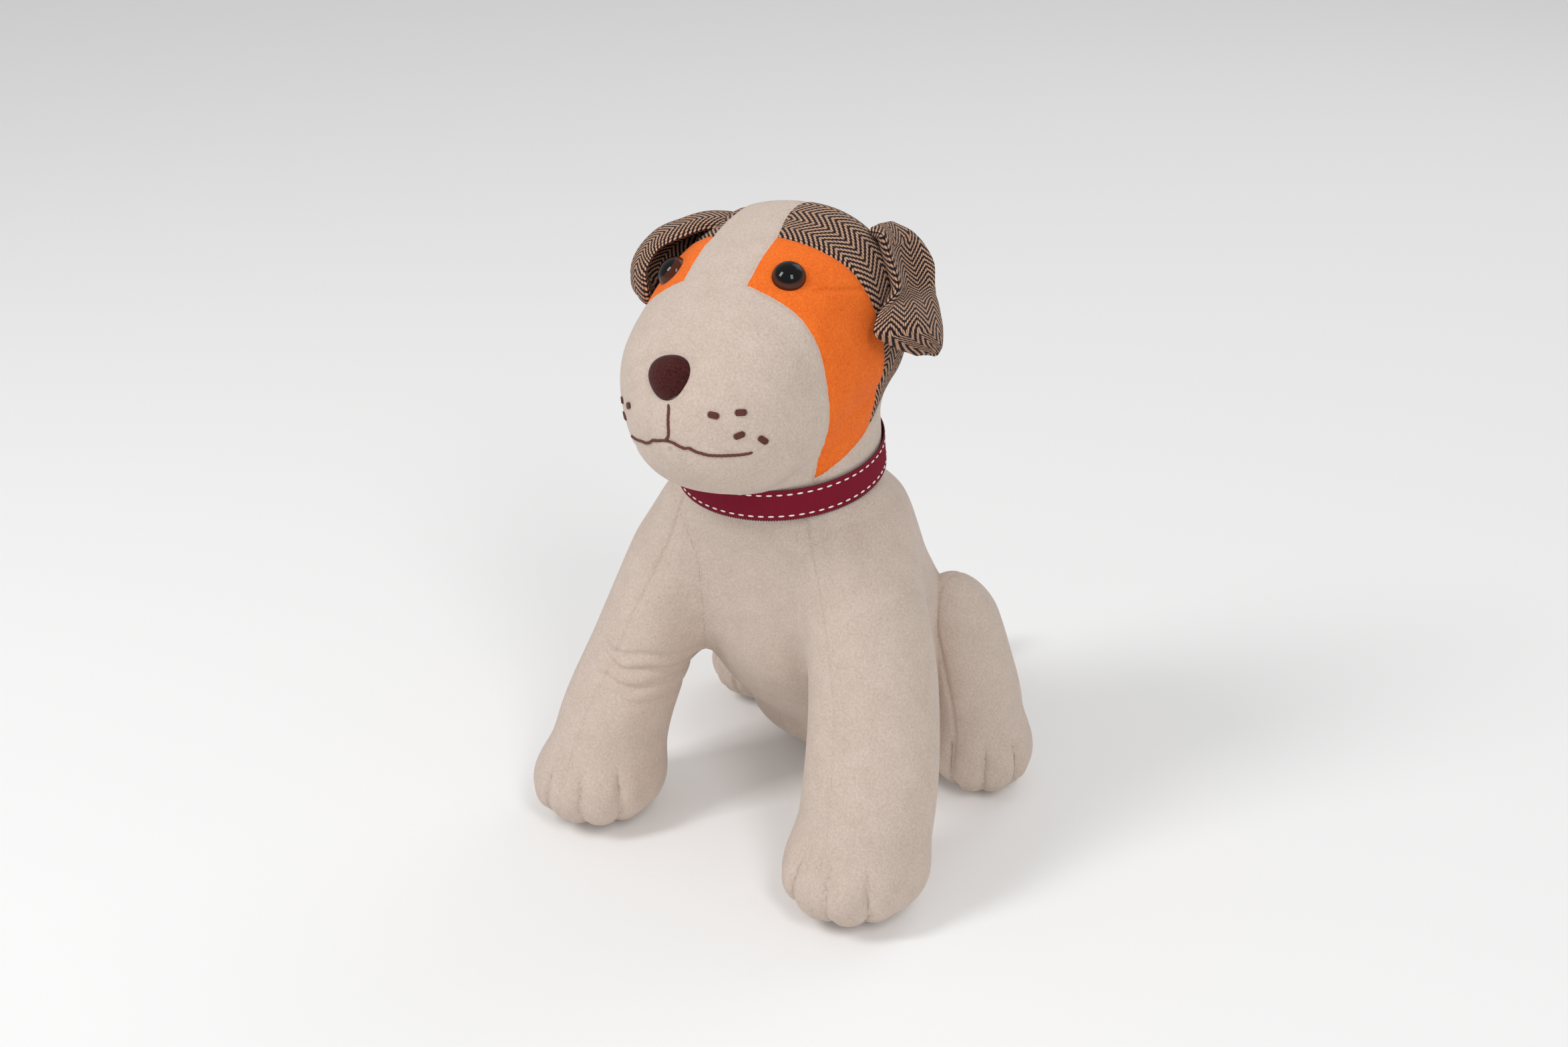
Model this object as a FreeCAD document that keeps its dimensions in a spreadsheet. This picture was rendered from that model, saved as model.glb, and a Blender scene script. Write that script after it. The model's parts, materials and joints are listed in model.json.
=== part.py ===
import FreeCAD, Part
import math
import os
import Sketcher

"""Seated plush dog, built the way it is sewn: fabric panels over stuffing, with hard eyes and nose.

Millimetres, +Z up.  The dog faces -Y and its left side is +X.
The origin is on the floor, in the middle of the object's bounding box.
"""

Vector = FreeCAD.Vector
Rotation = FreeCAD.Rotation
Placement = FreeCAD.Placement

X_AXIS = Vector(1, 0, 0)
Y_AXIS = Vector(0, 1, 0)
Z_AXIS = Vector(0, 0, 1)
FAR = 400.0
TOUCH = 1e-6

# how much of the way from one stitch hole to the next a thread covers
STITCH_SHARE = 0.86
# how far the middle of a thread lies off the cloth, in thread radii
THREAD_LIFT = 2.6
TOE_THREAD_LIFT = 3.0
# directions of the toe stitches seen from the middle of the paw, in degrees
TOE_HEADINGS = (-24.0, 0.0, 24.0)
TOE_RISES = (-20.0, 5.0, 30.0)
# the fillet on the front of the nose, as a share of its thickness
NOSE_ROUNDING = 0.45
# from where the directions of the embroidery are measured, in the head's frame
MUZZLE_MIDDLE = Vector(0, -40, -12)
# angles from the middle of the muzzle: across and up, in degrees
PHILTRUM = [20, 11, 2]
MOUTH_LINE = [(2, 0), (14, -4), (28, -8), (43, -11)]
FRECKLES = [(28, 13), (43, 13), (39, 1), (52, -5)]

doc = FreeCAD.newDocument("plush_dog")
sheet = doc.addObject("Spreadsheet::Sheet", "dims")

# ---------------------------------------------------------------- driving dimensions

PLAIN_DIMENSIONS = {
    "stand_forward": 40.0,
    "wall": 1.5,
    "gap": 0.1,
    "clearance": 0.5,
    "base_thickness": 2.0,
    "neck_height": 214.0,
    "neck_forward": -14.0,
    "neck_tilt": 8.0,
    "neck_ball_radius": 42.0,
    "neck_gap": 6.5,
    "collar_width": 16.0,
    "collar_thickness": 1.2,
    "collar_drop": 1.2,
    "collar_radius": 51.4,
    "collar_inner_radius": 50.2,
    "collar_join_length": 22.0,
    "collar_join_clear": 0.6,
    "stitch_ring_height": 0.8,
    "stitch_ring_proud": 0.5,
    "stitch_ring_clear": 0.05,
    "stitch_edge_inset": 2.2,
    "chest_halfwidth": 26.0,
    "pouch_radius": 34.0,
    "pouch_height": 26.0,
    "pouch_floor": 8.0,
    "shoulder_ball": 24.0,
    "shoulder_gap": 6.0,
    "stump_radius": 27.0,
    "stump_length": 8.0,
    "leg_room": 32.0,
    "sole_thickness": 2.0,
    "leg_seam_offset": 3.0,
    "hip_plane": 52.0,
    "hip_y": 68.0,
    "hip_z": 70.0,
    "hip_room": 90.0,
    "tail_y": 139.0,
    "tail_z": 30.0,
    "tail_rise": 8.0,
    "tail_length": 40.0,
    "tail_root_radius": 12.0,
    "tail_tip_radius": 8.0,
    "head_x": -3.0,
    "head_y": -15.0,
    "head_z": 266.0,
    "head_yaw": -2.0,
    "head_roll": -9.0,
    "head_pitch": 7.0,
    "eye_radius": 7.5,
    "eye_dome": 5.6,
    "eye_shank_radius": 2.0,
    "eye_shank_length": 12.0,
    "eye_x": 31.0,
    "eye_up": 41.0,
    "washer_radius": 8.5,
    "washer_thickness": 1.6,
    "washer_depth": 3.0,
    "nose_halfwidth": 10.0,
    "nose_height": 18.0,
    "nose_thickness": 5.0,
    "nose_corner": 4.0,
    "nose_up": 13.5,
    "nose_shank_radius": 2.5,
    "nose_shank_length": 12.0,
    "shank_hole_depth": 30.0,
    "drill_above": 12.0,
    "blaze_halfwidth": 13.0,
    "blaze_back": 24.0,
    "muzzle_back": 35.0,
    "patch_back": -4.0,
    "chin_up": -14.0,
    "thread_radius": 0.6,
    "freckle_radius": 1.8,
    "freckle_height": 0.8,
    "freckle_clear": 0.3,
    "ear_root_x": 44.0,
    "ear_root_y": 8.0,
    "ear_root_up": 38.0,
    "ear_turn": 10.0,
    "ear_spread": 24.0,
    "toe_thread_radius": 0.7,
}

# name: (height, forward, half width, half depth)
TORSO_STATIONS = {
    "floor": (0.0, 79.0, 50.0, 46.0),
    "seat": (8.0, 79.0, 60.0, 55.0),
    "rump": (36.0, 74.0, 66.0, 62.0),
    "belly": (80.0, 48.0, 65.0, 73.0),
    "ribs": (120.0, 23.0, 61.5, 61.0),
    "chest": (160.0, 5.0, 55.5, 49.0),
    "withers": (176.0, -2.0, 54.0, 49.0),
    "shoulders": (191.0, -10.0, 47.5, 43.5),
    "throat": (236.0, -15.0, 45.5, 44.0),
}

# name: (height, outward, forward, half width, half depth)
FRONT_LEG_STATIONS = {
    "fore_floor": (0.0, 79.0, -69.0, 20.0, 24.0),
    "fore_sole": (6.0, 79.0, -69.0, 29.0, 32.0),
    "fore_paw": (22.0, 79.0, -68.0, 31.5, 35.0),
    "fore_ankle": (46.0, 76.0, -58.0, 29.0, 32.0),
    "fore_shin": (100.0, 65.5, -35.0, 28.0, 30.5),
    "fore_elbow": (146.0, 51.5, -21.0, 27.0, 30.0),
    "fore_armpit": (185.0, 39.5, -12.0, 22.0, 27.0),
}

HIND_LEG_STATIONS = {
    "hind_floor": (0.0, 77.0, 70.0, 17.0, 22.0),
    "hind_sole": (6.0, 77.0, 70.0, 24.0, 29.0),
    "hind_paw": (22.0, 76.5, 70.0, 27.0, 32.0),
    "hind_ankle": (45.0, 75.5, 68.0, 23.0, 29.0),
    "hind_thigh": (82.0, 70.0, 64.0, 21.5, 28.0),
    "hind_haunch": (106.0, 63.0, 62.0, 19.0, 24.0),
    "hind_top": (119.0, 60.0, 61.0, 10.0, 12.0),
}

# name: (distance towards the nose, up, half width, half height)
HEAD_STATIONS = {
    "nape": (-53.0, 4.0, 22.0, 21.0),
    "occiput": (-46.0, 4.0, 38.0, 37.0),
    "crown": (-20.0, 4.0, 53.5, 51.5),
    "brow": (12.0, 0.0, 55.5, 53.0),
    "cheek": (45.0, -8.0, 52.0, 47.5),
    "muzzle": (72.0, -14.0, 43.0, 38.0),
    "snout": (84.0, -16.0, 31.0, 27.0),
    "snout_tip": (89.0, -16.0, 17.0, 15.0),
}

# name: (distance down the ear, half width, half thickness)
EAR_STATIONS = {
    "ear_root": (0.0, 17.0, 6.0),
    "ear_upper": (14.0, 22.0, 9.0),
    "ear_middle": (34.0, 22.0, 10.0),
    "ear_lower": (54.0, 17.0, 8.0),
    "ear_tip": (66.0, 8.0, 4.0),
}


def fill_sheet():
    """Write every driving dimension to the sheet as a plain number with an alias."""
    rows = dict(PLAIN_DIMENSIONS)
    for name, (height, forward, width, depth) in TORSO_STATIONS.items():
        rows[name + "_height"] = height
        rows[name + "_forward"] = forward
        rows[name + "_width"] = width
        rows[name + "_depth"] = depth
    for name, (height, out, forward, width, depth) in (FRONT_LEG_STATIONS | HIND_LEG_STATIONS).items():
        rows[name + "_height"] = height
        rows[name + "_out"] = out
        rows[name + "_forward"] = forward
        rows[name + "_width"] = width
        rows[name + "_depth"] = depth
    for name, (reach, up, width, tall) in HEAD_STATIONS.items():
        rows[name + "_reach"] = reach
        rows[name + "_up"] = up
        rows[name + "_width"] = width
        rows[name + "_tall"] = tall
    for name, (down, width, thick) in EAR_STATIONS.items():
        rows[name + "_down"] = down
        rows[name + "_width"] = width
        rows[name + "_thick"] = thick
    for row, (alias, value) in enumerate(rows.items(), start=1):
        sheet.set("A%d" % row, alias)
        sheet.set("B%d" % row, str(value))
        sheet.setAlias("B%d" % row, alias)
    doc.recompute()


def dim(alias):
    """The sheet's value for an alias."""
    return float(getattr(sheet, alias))


def side_name(side):
    return "left" if side > 0 else "right"


# ---------------------------------------------------------------- small builders

# how far a solid's faces lie inside the outer face of the fabric, as an expression on the sheet
SKIN = "0"
LINING = "dims.wall"
FILL = "(dims.wall + dims.gap)"

subparts = []


def depth_of(layer):
    """The value of one of the layers above."""
    return {SKIN: 0.0, LINING: dim("wall"), FILL: dim("wall") + dim("gap")}[layer]


def drawn_in(index, count, layer):
    """How far an end section of a loft moves towards the middle, so that the ends are closed too."""
    ends = {0: depth_of(layer), count - 1: -depth_of(layer)}
    return ends.get(index, 0.0)


def keep(feature, label):
    """Register a feature as a sub-part that is exported."""
    feature.Label = label
    subparts.append(feature)
    return feature


def boolean(kind, name, base, tool):
    """Part::Cut, Part::Common or Part::Fuse of two features."""
    feature = doc.addObject("Part::" + kind, name)
    feature.Base = base
    feature.Tool = tool
    return feature


def fuse_all(name, features):
    """Part::MultiFuse of several features."""
    feature = doc.addObject("Part::MultiFuse", name)
    feature.Shapes = features
    return feature


def copy_of(feature, name):
    """A parametric copy, so that one feature can serve two booleans."""
    twin = doc.addObject("Part::Compound", name)
    twin.Links = [feature]
    return twin


def ellipse(name, wide, deep, layer, grow, centre, plane):
    """An ellipse whose half sizes come from two aliases, less the layer's depth.

    plane is the rotation from the XY plane.  The larger half size has to be the major one, so
    the ellipse is turned a quarter when the second size is the larger.
    """
    feature = doc.addObject("Part::Ellipse", name)
    turned = dim(deep) > dim(wide)
    major, minor = (deep, wide) if turned else (wide, deep)
    feature.MajorRadius = dim(major)
    feature.MinorRadius = 1.0
    feature.setExpression("MajorRadius", "dims.%s - %s + %s" % (major, layer, grow))
    feature.setExpression("MinorRadius", "dims.%s - %s + %s" % (minor, layer, grow))
    quarter = Rotation(Z_AXIS, 90 if turned else 0)
    feature.Placement = Placement(centre, plane * quarter)
    return feature


def loft(name, sections):
    feature = doc.addObject("Part::Loft", name)
    feature.Sections = sections
    feature.Solid = True
    feature.Ruled = False
    return feature


def box(name, low, high):
    """Part::Box between two corners."""
    feature = doc.addObject("Part::Box", name)
    feature.Length = high[0] - low[0]
    feature.Width = high[1] - low[1]
    feature.Height = high[2] - low[2]
    feature.Placement.Base = Vector(*low)
    return feature


def cylinder(name, radius, length, placement):
    """Part::Cylinder whose radius is an expression on the sheet."""
    feature = doc.addObject("Part::Cylinder", name)
    feature.setExpression("Radius", radius)
    feature.Height = length
    feature.Placement = placement
    return feature


def sphere(name, radius, centre):
    """Part::Sphere whose radius is an expression on the sheet, with its poles along X."""
    feature = doc.addObject("Part::Sphere", name)
    feature.setExpression("Radius", radius)
    feature.Placement = Placement(centre, Rotation(Y_AXIS, 90))
    return feature


def upright_loft(name, stations, side, layer):
    """A loft of level ellipses.  side is +1 or -1 for a limb, 0 for the torso."""
    sections = []
    for index, station in enumerate(stations):
        out = side * dim(station + "_out") if side else 0.0
        height = dim(station + "_height") + drawn_in(index, len(stations), layer)
        centre = Vector(out, dim(station + "_forward"), height)
        wide, deep = station + "_width", station + "_depth"
        sections.append(ellipse(name + "_" + station, wide, deep, layer, "0", centre, Rotation()))
    return loft(name, sections)


def raised(feature_name, source, lift):
    """The part of a feature that is above a level."""
    below = box(feature_name + "_below", (-FAR, -FAR, -FAR), (FAR, FAR, lift))
    return boolean("Cut", feature_name, source, below)


# ---------------------------------------------------------------- neck frame


def neck_placement():
    """Placement of the neck: origin at the top of the torso, +Z along the neck."""
    centre = Vector(0, dim("neck_forward"), dim("neck_height"))
    return Placement(centre, Rotation(X_AXIS, dim("neck_tilt")))


def above_neck(name, lift, frame):
    """A large block that starts lift above the neck plane, given in a local frame."""
    block = box(name, (-FAR / 2, -FAR / 2, 0), (FAR / 2, FAR / 2, FAR / 2))
    corner = Placement(Vector(-FAR / 2, -FAR / 2, lift), Rotation())
    block.Placement = frame * neck_placement() * corner
    return block


# ---------------------------------------------------------------- torso


def shoulder_placement(side):
    """Placement of a shoulder: origin at the middle of the ball, +Z up the leg into the body."""
    centre = leg_point("fore_elbow", side)
    up_leg = centre - leg_point("fore_shin", side)
    return Placement(centre, Rotation(Z_AXIS, up_leg))


def leg_point(station, side):
    """Middle of a leg's section at one station."""
    return Vector(side * dim(station + "_out"), dim(station + "_forward"), dim(station + "_height"))


def torso_form(name, layer):
    """The torso's plain outline with both rounded shoulders, before anything is cut from it."""
    pieces = [upright_loft(name + "_trunk", TORSO_STATIONS, 0, layer)]
    for side in (1, -1):
        start = shoulder_placement(side) * Placement(Vector(0, 0, dim("shoulder_gap")), Rotation())
        top = start.multVec(Vector(0, 0, dim("stump_length")))
        tag = name + "_stump_" + side_name(side)
        pieces.append(cylinder(tag, "dims.stump_radius - " + layer, dim("stump_length"), start))
        pieces.append(sphere(tag + "_top", "dims.stump_radius - " + layer, top))
    return fuse_all(name + "_form", pieces)


def clear_limbs(solid, tag, room):
    """Take the room of the head, front legs and hind legs out of a torso piece."""
    lid = above_neck(tag + "_lid", -room, Placement())
    solid = boolean("Cut", tag + "_topped", solid, lid)
    for side in (1, -1):
        name = tag + "_" + side_name(side)
        shoulder = shoulder_placement(side)
        socket = sphere(name + "_socket", "dims.shoulder_ball + dims.clearance + %s" % room, shoulder.Base)
        solid = boolean("Cut", name + "_socketed", solid, socket)
        start = shoulder * Placement(Vector(0, 0, dim("shoulder_gap") - FAR), Rotation())
        leg_room = cylinder(name + "_leg_room", "dims.leg_room + %s" % room, FAR, start)
        solid = boolean("Cut", name + "_roomed", solid, leg_room)
        hip = Vector(side * (dim("hip_plane") - dim("clearance") - room), dim("hip_y"), dim("hip_z"))
        outward = Placement(hip, Rotation(Y_AXIS, 90 * side))
        flank = cylinder(name + "_flank", "dims.hip_room", FAR, outward)
        solid = boolean("Cut", name + "_flanked", solid, flank)
    tail_room = sphere(tag + "_tail_room", "dims.tail_root_radius + dims.clearance + %s" % room, tail_root())
    return boolean("Cut", tag + "_tail_socketed", solid, tail_room)


def build_torso():
    """Four fabric panels, the stuffing and the weight pouch."""
    outer = torso_form("torso_outer", SKIN)
    inner = torso_form("torso_inner", LINING)
    shell = clear_limbs(boolean("Cut", "torso_shell", outer, inner), "skin", 0.0)
    floor = dim("base_thickness")
    base_zone = box("base_zone", (-FAR, -FAR, 0), (FAR, FAR, floor))
    base_source = upright_loft("base_source", TORSO_STATIONS, 0, SKIN)
    keep(boolean("Common", "base", base_source, base_zone), "base_panel")
    chest = boolean("Common", "chest_raw", copy_of(shell, "shell_chest"), front_wedge("chest_zone"))
    keep(raised("chest", chest, floor), "chest_panel")
    rear = boolean("Cut", "rear_shell", copy_of(shell, "shell_rear"), front_wedge("rear_zone"))
    left_half = box("left_half", (-dim("gap") / 2, -FAR, -FAR), (FAR, FAR, FAR))
    right = raised("side_right", boolean("Cut", "side_right_half", rear, left_half), floor)
    keep(mirrored("side_left", right), "side_panel_left")
    keep(copy_of(right, "side_right_kept"), "side_panel_right")
    build_body_fill()


def mirrored(name, source):
    """The left-hand twin of a piece that lies on the right."""
    feature = doc.addObject("Part::Mirroring", name)
    feature.Source = source
    feature.Base = Vector(0, 0, 0)
    feature.Normal = X_AXIS
    return feature


def front_wedge(name):
    """The space in front of the torso, between the two chest seams."""
    half = dim("chest_halfwidth")
    return box(name, (-half, -FAR, 0), (half, dim("ribs_forward"), FAR))


def build_body_fill():
    """Stuffing with a pocket in its seat for the weight pouch."""
    fill = clear_limbs(torso_form("body_fill", FILL), "fill", dim("gap"))
    floor = dim("base_thickness") + dim("gap")
    fill = raised("body_fill_raised", fill, floor)
    middle = dim("base_thickness") + dim("pouch_floor") + dim("pouch_height") / 2
    seat = Vector(0, dim("rump_forward"), middle)
    pocket = pouch_form("pouch_pocket", "dims.gap", seat)
    keep(boolean("Cut", "body_fill_cut", fill, pocket), "body_stuffing")
    keep(pouch_form("pouch", "0", seat), "weight_pouch")


def pouch_form(name, grow, seat):
    """The flattened cushion shape of the weight pouch."""
    pouch = doc.addObject("Part::Ellipsoid", name)
    pouch.setExpression("Radius1", "dims.pouch_height / 2 + " + grow)
    pouch.setExpression("Radius2", "dims.pouch_radius + " + grow)
    pouch.setExpression("Radius3", "dims.pouch_radius + " + grow)
    pouch.Angle1 = -90
    pouch.Angle2 = 90
    pouch.Placement.Base = seat
    return pouch


# ---------------------------------------------------------------- collar and neck


def ring(name, outer, inner, low, high, place):
    """A plain ring made as a body: one sketch of two circles, padded."""
    body = doc.addObject("PartDesign::Body", name)
    sketch = new_sketch(body, name + "_sketch", "XY_Plane")
    for radius, alias in ((dim(outer[0]) + outer[1], outer), (dim(inner[0]) + inner[1], inner)):
        index = sketch.addGeometry(Part.Circle(Vector(0, 0, 0), Z_AXIS, radius), False)
        sketch.addConstraint(Sketcher.Constraint("Coincident", index, 3, -1, 1))
        number = sketch.addConstraint(Sketcher.Constraint("Radius", index, radius))
        sketch.setExpression("Constraints[%d]" % number, "dims.%s + %s" % alias)
    pad = body.newObject("PartDesign::Pad", name + "_pad")
    pad.Profile = sketch
    pad.Length = high - low
    body.Placement = place * Placement(Vector(0, 0, low), Rotation())
    return body


def new_sketch(body, name, plane_role):
    """A sketch on one of the body's own origin planes."""
    sketch = body.newObject("Sketcher::SketchObject", name)
    plane = next(f for f in body.Origin.OriginFeatures if f.Role == plane_role)
    sketch.AttachmentSupport = [(plane, "")]
    sketch.MapMode = "FlatFace"
    return sketch


def build_collar():
    """Ribbon ring, its two rows of edge stitching and the sewn-down overlap at the back."""
    neck = neck_placement()
    top = -dim("collar_drop")
    low = top - dim("collar_width")
    ribbon = ring("ribbon", ("collar_radius", 0.0), ("collar_inner_radius", 0.0), low, top, neck)
    keep(ribbon, "collar_ribbon")
    rows = {"upper": top - dim("stitch_edge_inset"), "lower": low + dim("stitch_edge_inset")}
    for row, height in rows.items():
        half = dim("stitch_ring_height") / 2
        thread = ring("stitch_" + row, ("collar_radius", dim("stitch_ring_proud")),
                      ("collar_radius", dim("stitch_ring_clear")), height - half, height + half, neck)
        keep(thread, "collar_stitching_" + row)
    outer = ring("join_ring", ("collar_radius", dim("collar_thickness")),
                 ("collar_radius", dim("collar_join_clear")), low, top, neck)
    half = dim("collar_join_length") / 2
    zone = box("join_zone", (-half, 0, -FAR), (half, FAR, FAR))
    keep(boolean("Common", "join", outer, zone), "collar_overlap")


def build_neck():
    """The stuffed neck, a ball that the head turns and nods on."""
    neck = neck_placement()
    ball = sphere("neck_sphere", "dims.neck_ball_radius", neck.Base)
    block = above_neck("neck_floor", dim("clearance"), Placement())
    keep(boolean("Common", "neck_dome", ball, block), "neck_stuffing")


# ---------------------------------------------------------------- legs


def limb_envelope(name, stations, side, layer):
    """A front leg below the shoulder, with its ball, or a whole hind leg."""
    limb = upright_loft(name, stations, side, layer)
    if stations is FRONT_LEG_STATIONS:
        shoulder = shoulder_placement(side)
        above = box(name + "_above", (-FAR, -FAR, 0), (FAR, FAR, FAR))
        above.Placement = shoulder * Placement(Vector(-FAR, -FAR, 0), Rotation())
        limb = boolean("Cut", name + "_shank", limb, above)
        ball = sphere(name + "_ball", "dims.shoulder_ball - " + layer, shoulder.Base)
        return fuse_all(name + "_limb", [limb, ball])
    low, high = sorted((side * dim("hip_plane"), side * FAR))
    outer_zone = box(name + "_out", (low, -FAR, -FAR), (high, FAR, FAR))
    return boolean("Common", name + "_limb", limb, outer_zone)


def build_leg(prefix, stations, side):
    """Outer and inner cover panels, sole, stuffing and toe stitches of one leg."""
    tag = "%s_%s" % (prefix, side_name(side))
    paw = [name for name in stations if name.endswith("_paw")][0]
    outer = limb_envelope(tag + "_outer", stations, side, SKIN)
    inner = limb_envelope(tag + "_inner", stations, side, LINING)
    if stations is HIND_LEG_STATIONS:
        inner = hip_inset(tag, inner, side, LINING)
    shell = boolean("Cut", tag + "_shell", outer, inner)
    floor = dim("sole_thickness")
    seam = side * (dim(paw + "_out") - dim("leg_seam_offset"))
    shell = raised(tag + "_shell_raised", shell, floor)
    for part in ("outer", "inner"):
        outward = side > 0 if part == "outer" else side < 0
        low, high = ((seam, FAR) if outward else (-FAR, seam))
        zone = box("%s_%s_zone" % (tag, part), (low, -FAR, -FAR), (high, FAR, FAR))
        source = copy_of(shell, "%s_%s_source" % (tag, part))
        label = "%s_%s_panel" % (tag, part)
        keep(boolean("Common", label, source, zone), label)
    sole_zone = box(tag + "_sole_zone", (-FAR, -FAR, 0), (FAR, FAR, floor))
    sole_source = limb_envelope(tag + "_sole_source", stations, side, SKIN)
    keep(boolean("Common", tag + "_sole_cut", sole_source, sole_zone), tag + "_sole")
    fill = limb_envelope(tag + "_fill", stations, side, FILL)
    if stations is HIND_LEG_STATIONS:
        fill = hip_inset(tag + "_fill", fill, side, FILL)
    keep(raised(tag + "_fill_raised", fill, floor + dim("gap")), tag + "_stuffing")
    build_toe_stitches(tag, outer, paw, side)


def hip_inset(tag, solid, side, layer):
    """Keep the inside of a hind leg clear of its flat hip face."""
    low, high = sorted((side * (dim("hip_plane") + depth_of(layer)), side * FAR))
    zone = box(tag + "_hip_inset", (low, -FAR, -FAR), (high, FAR, FAR))
    return boolean("Common", tag + "_hip", solid, zone)


def build_toe_stitches(tag, outer, paw, side):
    """Three short thread stitches over the toes, as a group of separate solids."""
    doc.recompute()
    paw_centre = Vector(side * dim(paw + "_out"), dim(paw + "_forward"), dim(paw + "_height"))
    radius = dim("toe_thread_radius")
    threads = []
    for heading in TOE_HEADINGS:
        rays = [direction(heading, rise) for rise in TOE_RISES]
        points = [surface_point(outer.Shape, paw_centre, ray, radius * TOE_THREAD_LIFT)[0] for ray in rays]
        threads += thread_run(points, radius)
    keep(group(tag + "_toes", threads, Placement()), tag + "_toe_stitches")


def direction(heading, rise):
    """Unit vector that points forward, turned and lifted by two angles in degrees."""
    flat = math.cos(math.radians(rise))
    across = math.sin(math.radians(heading)) * flat
    forward = math.cos(math.radians(heading)) * flat
    return Vector(across, -forward, math.sin(math.radians(rise)))


def group(name, solids, place):
    """Several separate solids as one feature."""
    feature = doc.addObject("Part::Feature", name)
    feature.Shape = Part.makeCompound(solids)
    feature.Placement = place
    return feature


# ---------------------------------------------------------------- tail


def build_tail():
    """A short stuffed tail at the back of the seat, with a rounded root."""
    root = tail_root()
    frame = Placement(root, Rotation(X_AXIS, -90 + dim("tail_rise")))
    tip = frame.multVec(Vector(0, 0, dim("tail_length")))
    cover = tail_form("tail_outer", SKIN, frame, tip)
    hollow = tail_form("tail_hollow", LINING, frame, tip)
    keep(boolean("Cut", "tail_shell", cover, hollow), "tail_cover")
    keep(tail_form("tail_fill", FILL, frame, tip), "tail_stuffing")


def tail_root():
    """Middle of the tail's rounded root."""
    return Vector(0, dim("tail_y"), dim("tail_z"))


def tail_form(name, layer, frame, tip):
    """A tapered tail with a ball at each end."""
    cone = doc.addObject("Part::Cone", name + "_cone")
    cone.setExpression("Radius1", "dims.tail_root_radius - " + layer)
    cone.setExpression("Radius2", "dims.tail_tip_radius - " + layer)
    cone.setExpression("Height", "dims.tail_length")
    cone.Placement = frame
    ball = sphere(name + "_root", "dims.tail_root_radius - " + layer, frame.Base)
    cap = sphere(name + "_tip", "dims.tail_tip_radius - " + layer, tip)
    return fuse_all(name + "_solid", [cone, ball, cap])


# ---------------------------------------------------------------- head


def head_placement():
    """Placement of the head: it is turned, tilted to one side and tipped."""
    turn = Rotation(Z_AXIS, dim("head_yaw"))
    lean = Rotation(Y_AXIS, dim("head_roll"))
    tip = Rotation(X_AXIS, dim("head_pitch"))
    return Placement(Vector(dim("head_x"), dim("head_y"), dim("head_z")), turn * lean * tip)


def head_loft(name, layer, grow="0"):
    """The head's outline, in its own frame, as a loft along its length."""
    upright = Rotation(X_AXIS, 90)
    sections = []
    for index, station in enumerate(HEAD_STATIONS):
        reach = dim(station + "_reach") + drawn_in(index, len(HEAD_STATIONS), layer)
        centre = Vector(0, -reach, dim(station + "_up"))
        wide, tall = station + "_width", station + "_tall"
        sections.append(ellipse(name + "_" + station, wide, tall, layer, grow, centre, upright))
    return loft(name, sections)


def clear_neck(solid, tag, room):
    """Take the neck ball's room out of a head piece that is in the head's own frame."""
    frame = head_placement().inverse()
    centre = frame.multVec(neck_placement().Base)
    cup = sphere(tag + "_cup", "dims.neck_ball_radius + dims.clearance + %s" % room, centre)
    solid = boolean("Cut", tag + "_cupped", solid, cup)
    upper = above_neck(tag + "_upper", dim("neck_gap") + room, frame)
    return boolean("Common", tag + "_solid", solid, upper)


def head_zones():
    """Blocks in the head's frame that divide its skin into the sewn panels."""
    blaze = dim("blaze_halfwidth")
    muzzle = -dim("muzzle_back")
    patch = -dim("patch_back")
    back = patch + dim("blaze_back")
    chin = dim("chin_up")
    return {
        "chin_panel": [((-FAR, -FAR, -FAR), (FAR, muzzle, chin))],
        "muzzle_panel": [((-FAR, -FAR, chin), (FAR, muzzle, FAR)),
                         ((-blaze, muzzle, 0), (blaze, back, FAR))],
        "eye_patch_left": [((blaze, muzzle, 0), (FAR, patch, FAR)),
                           ((0, muzzle, -FAR), (FAR, patch, 0))],
        "eye_patch_right": [((-FAR, muzzle, 0), (-blaze, patch, FAR)),
                            ((-FAR, muzzle, -FAR), (0, patch, 0))],
        "crown_panel_left": [((blaze, patch, 0), (FAR, FAR, FAR)),
                             ((0, back, 0), (blaze, FAR, FAR)),
                             ((0, patch, -FAR), (FAR, FAR, 0))],
        "crown_panel_right": [((-FAR, patch, 0), (-blaze, FAR, FAR)),
                              ((-blaze, back, 0), (0, FAR, FAR)),
                              ((-FAR, patch, -FAR), (0, FAR, 0))],
    }


def zone_solid(name, blocks):
    """One or more blocks joined into one cutting solid."""
    boxes = [box("%s_block%d" % (name, i), low, high) for i, (low, high) in enumerate(blocks)]
    if len(boxes) == 1:
        return boxes[0]
    return fuse_all(name + "_zone", boxes)


def surface_point(shape, start, ray, lift=0.0):
    """Where a ray from a point inside leaves a solid: the point, lifted, and the outward normal."""
    line = Part.makeLine(start, start + ray.normalize() * FAR)
    hits = []
    for face in shape.Faces:
        for vertex in face.common(line).Vertexes:
            hits.append((vertex.Point.distanceToPoint(start), vertex.Point, face))
        distance, pairs, _ = face.distToShape(line)
        if distance < TOUCH:
            hits.append((pairs[0][0].distanceToPoint(start), pairs[0][0], face))
    reach, point, face = max(hits, key=lambda hit: hit[0])
    normal = face.normalAt(*face.Surface.parameter(point))
    if normal.dot(ray) < 0:
        normal = -normal
    return point + normal * lift, normal


def thread_run(points, radius):
    """Round stitches between points in turn, each stopping short of the next."""
    stitches = []
    for start, end in zip(points, points[1:]):
        along = end - start
        length = along.Length * STITCH_SHARE
        heading = Vector(along).normalize()
        origin = start + heading * (along.Length - length) / 2
        stitches.append(Part.makeCylinder(radius, length, origin, heading))
    return stitches


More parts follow.
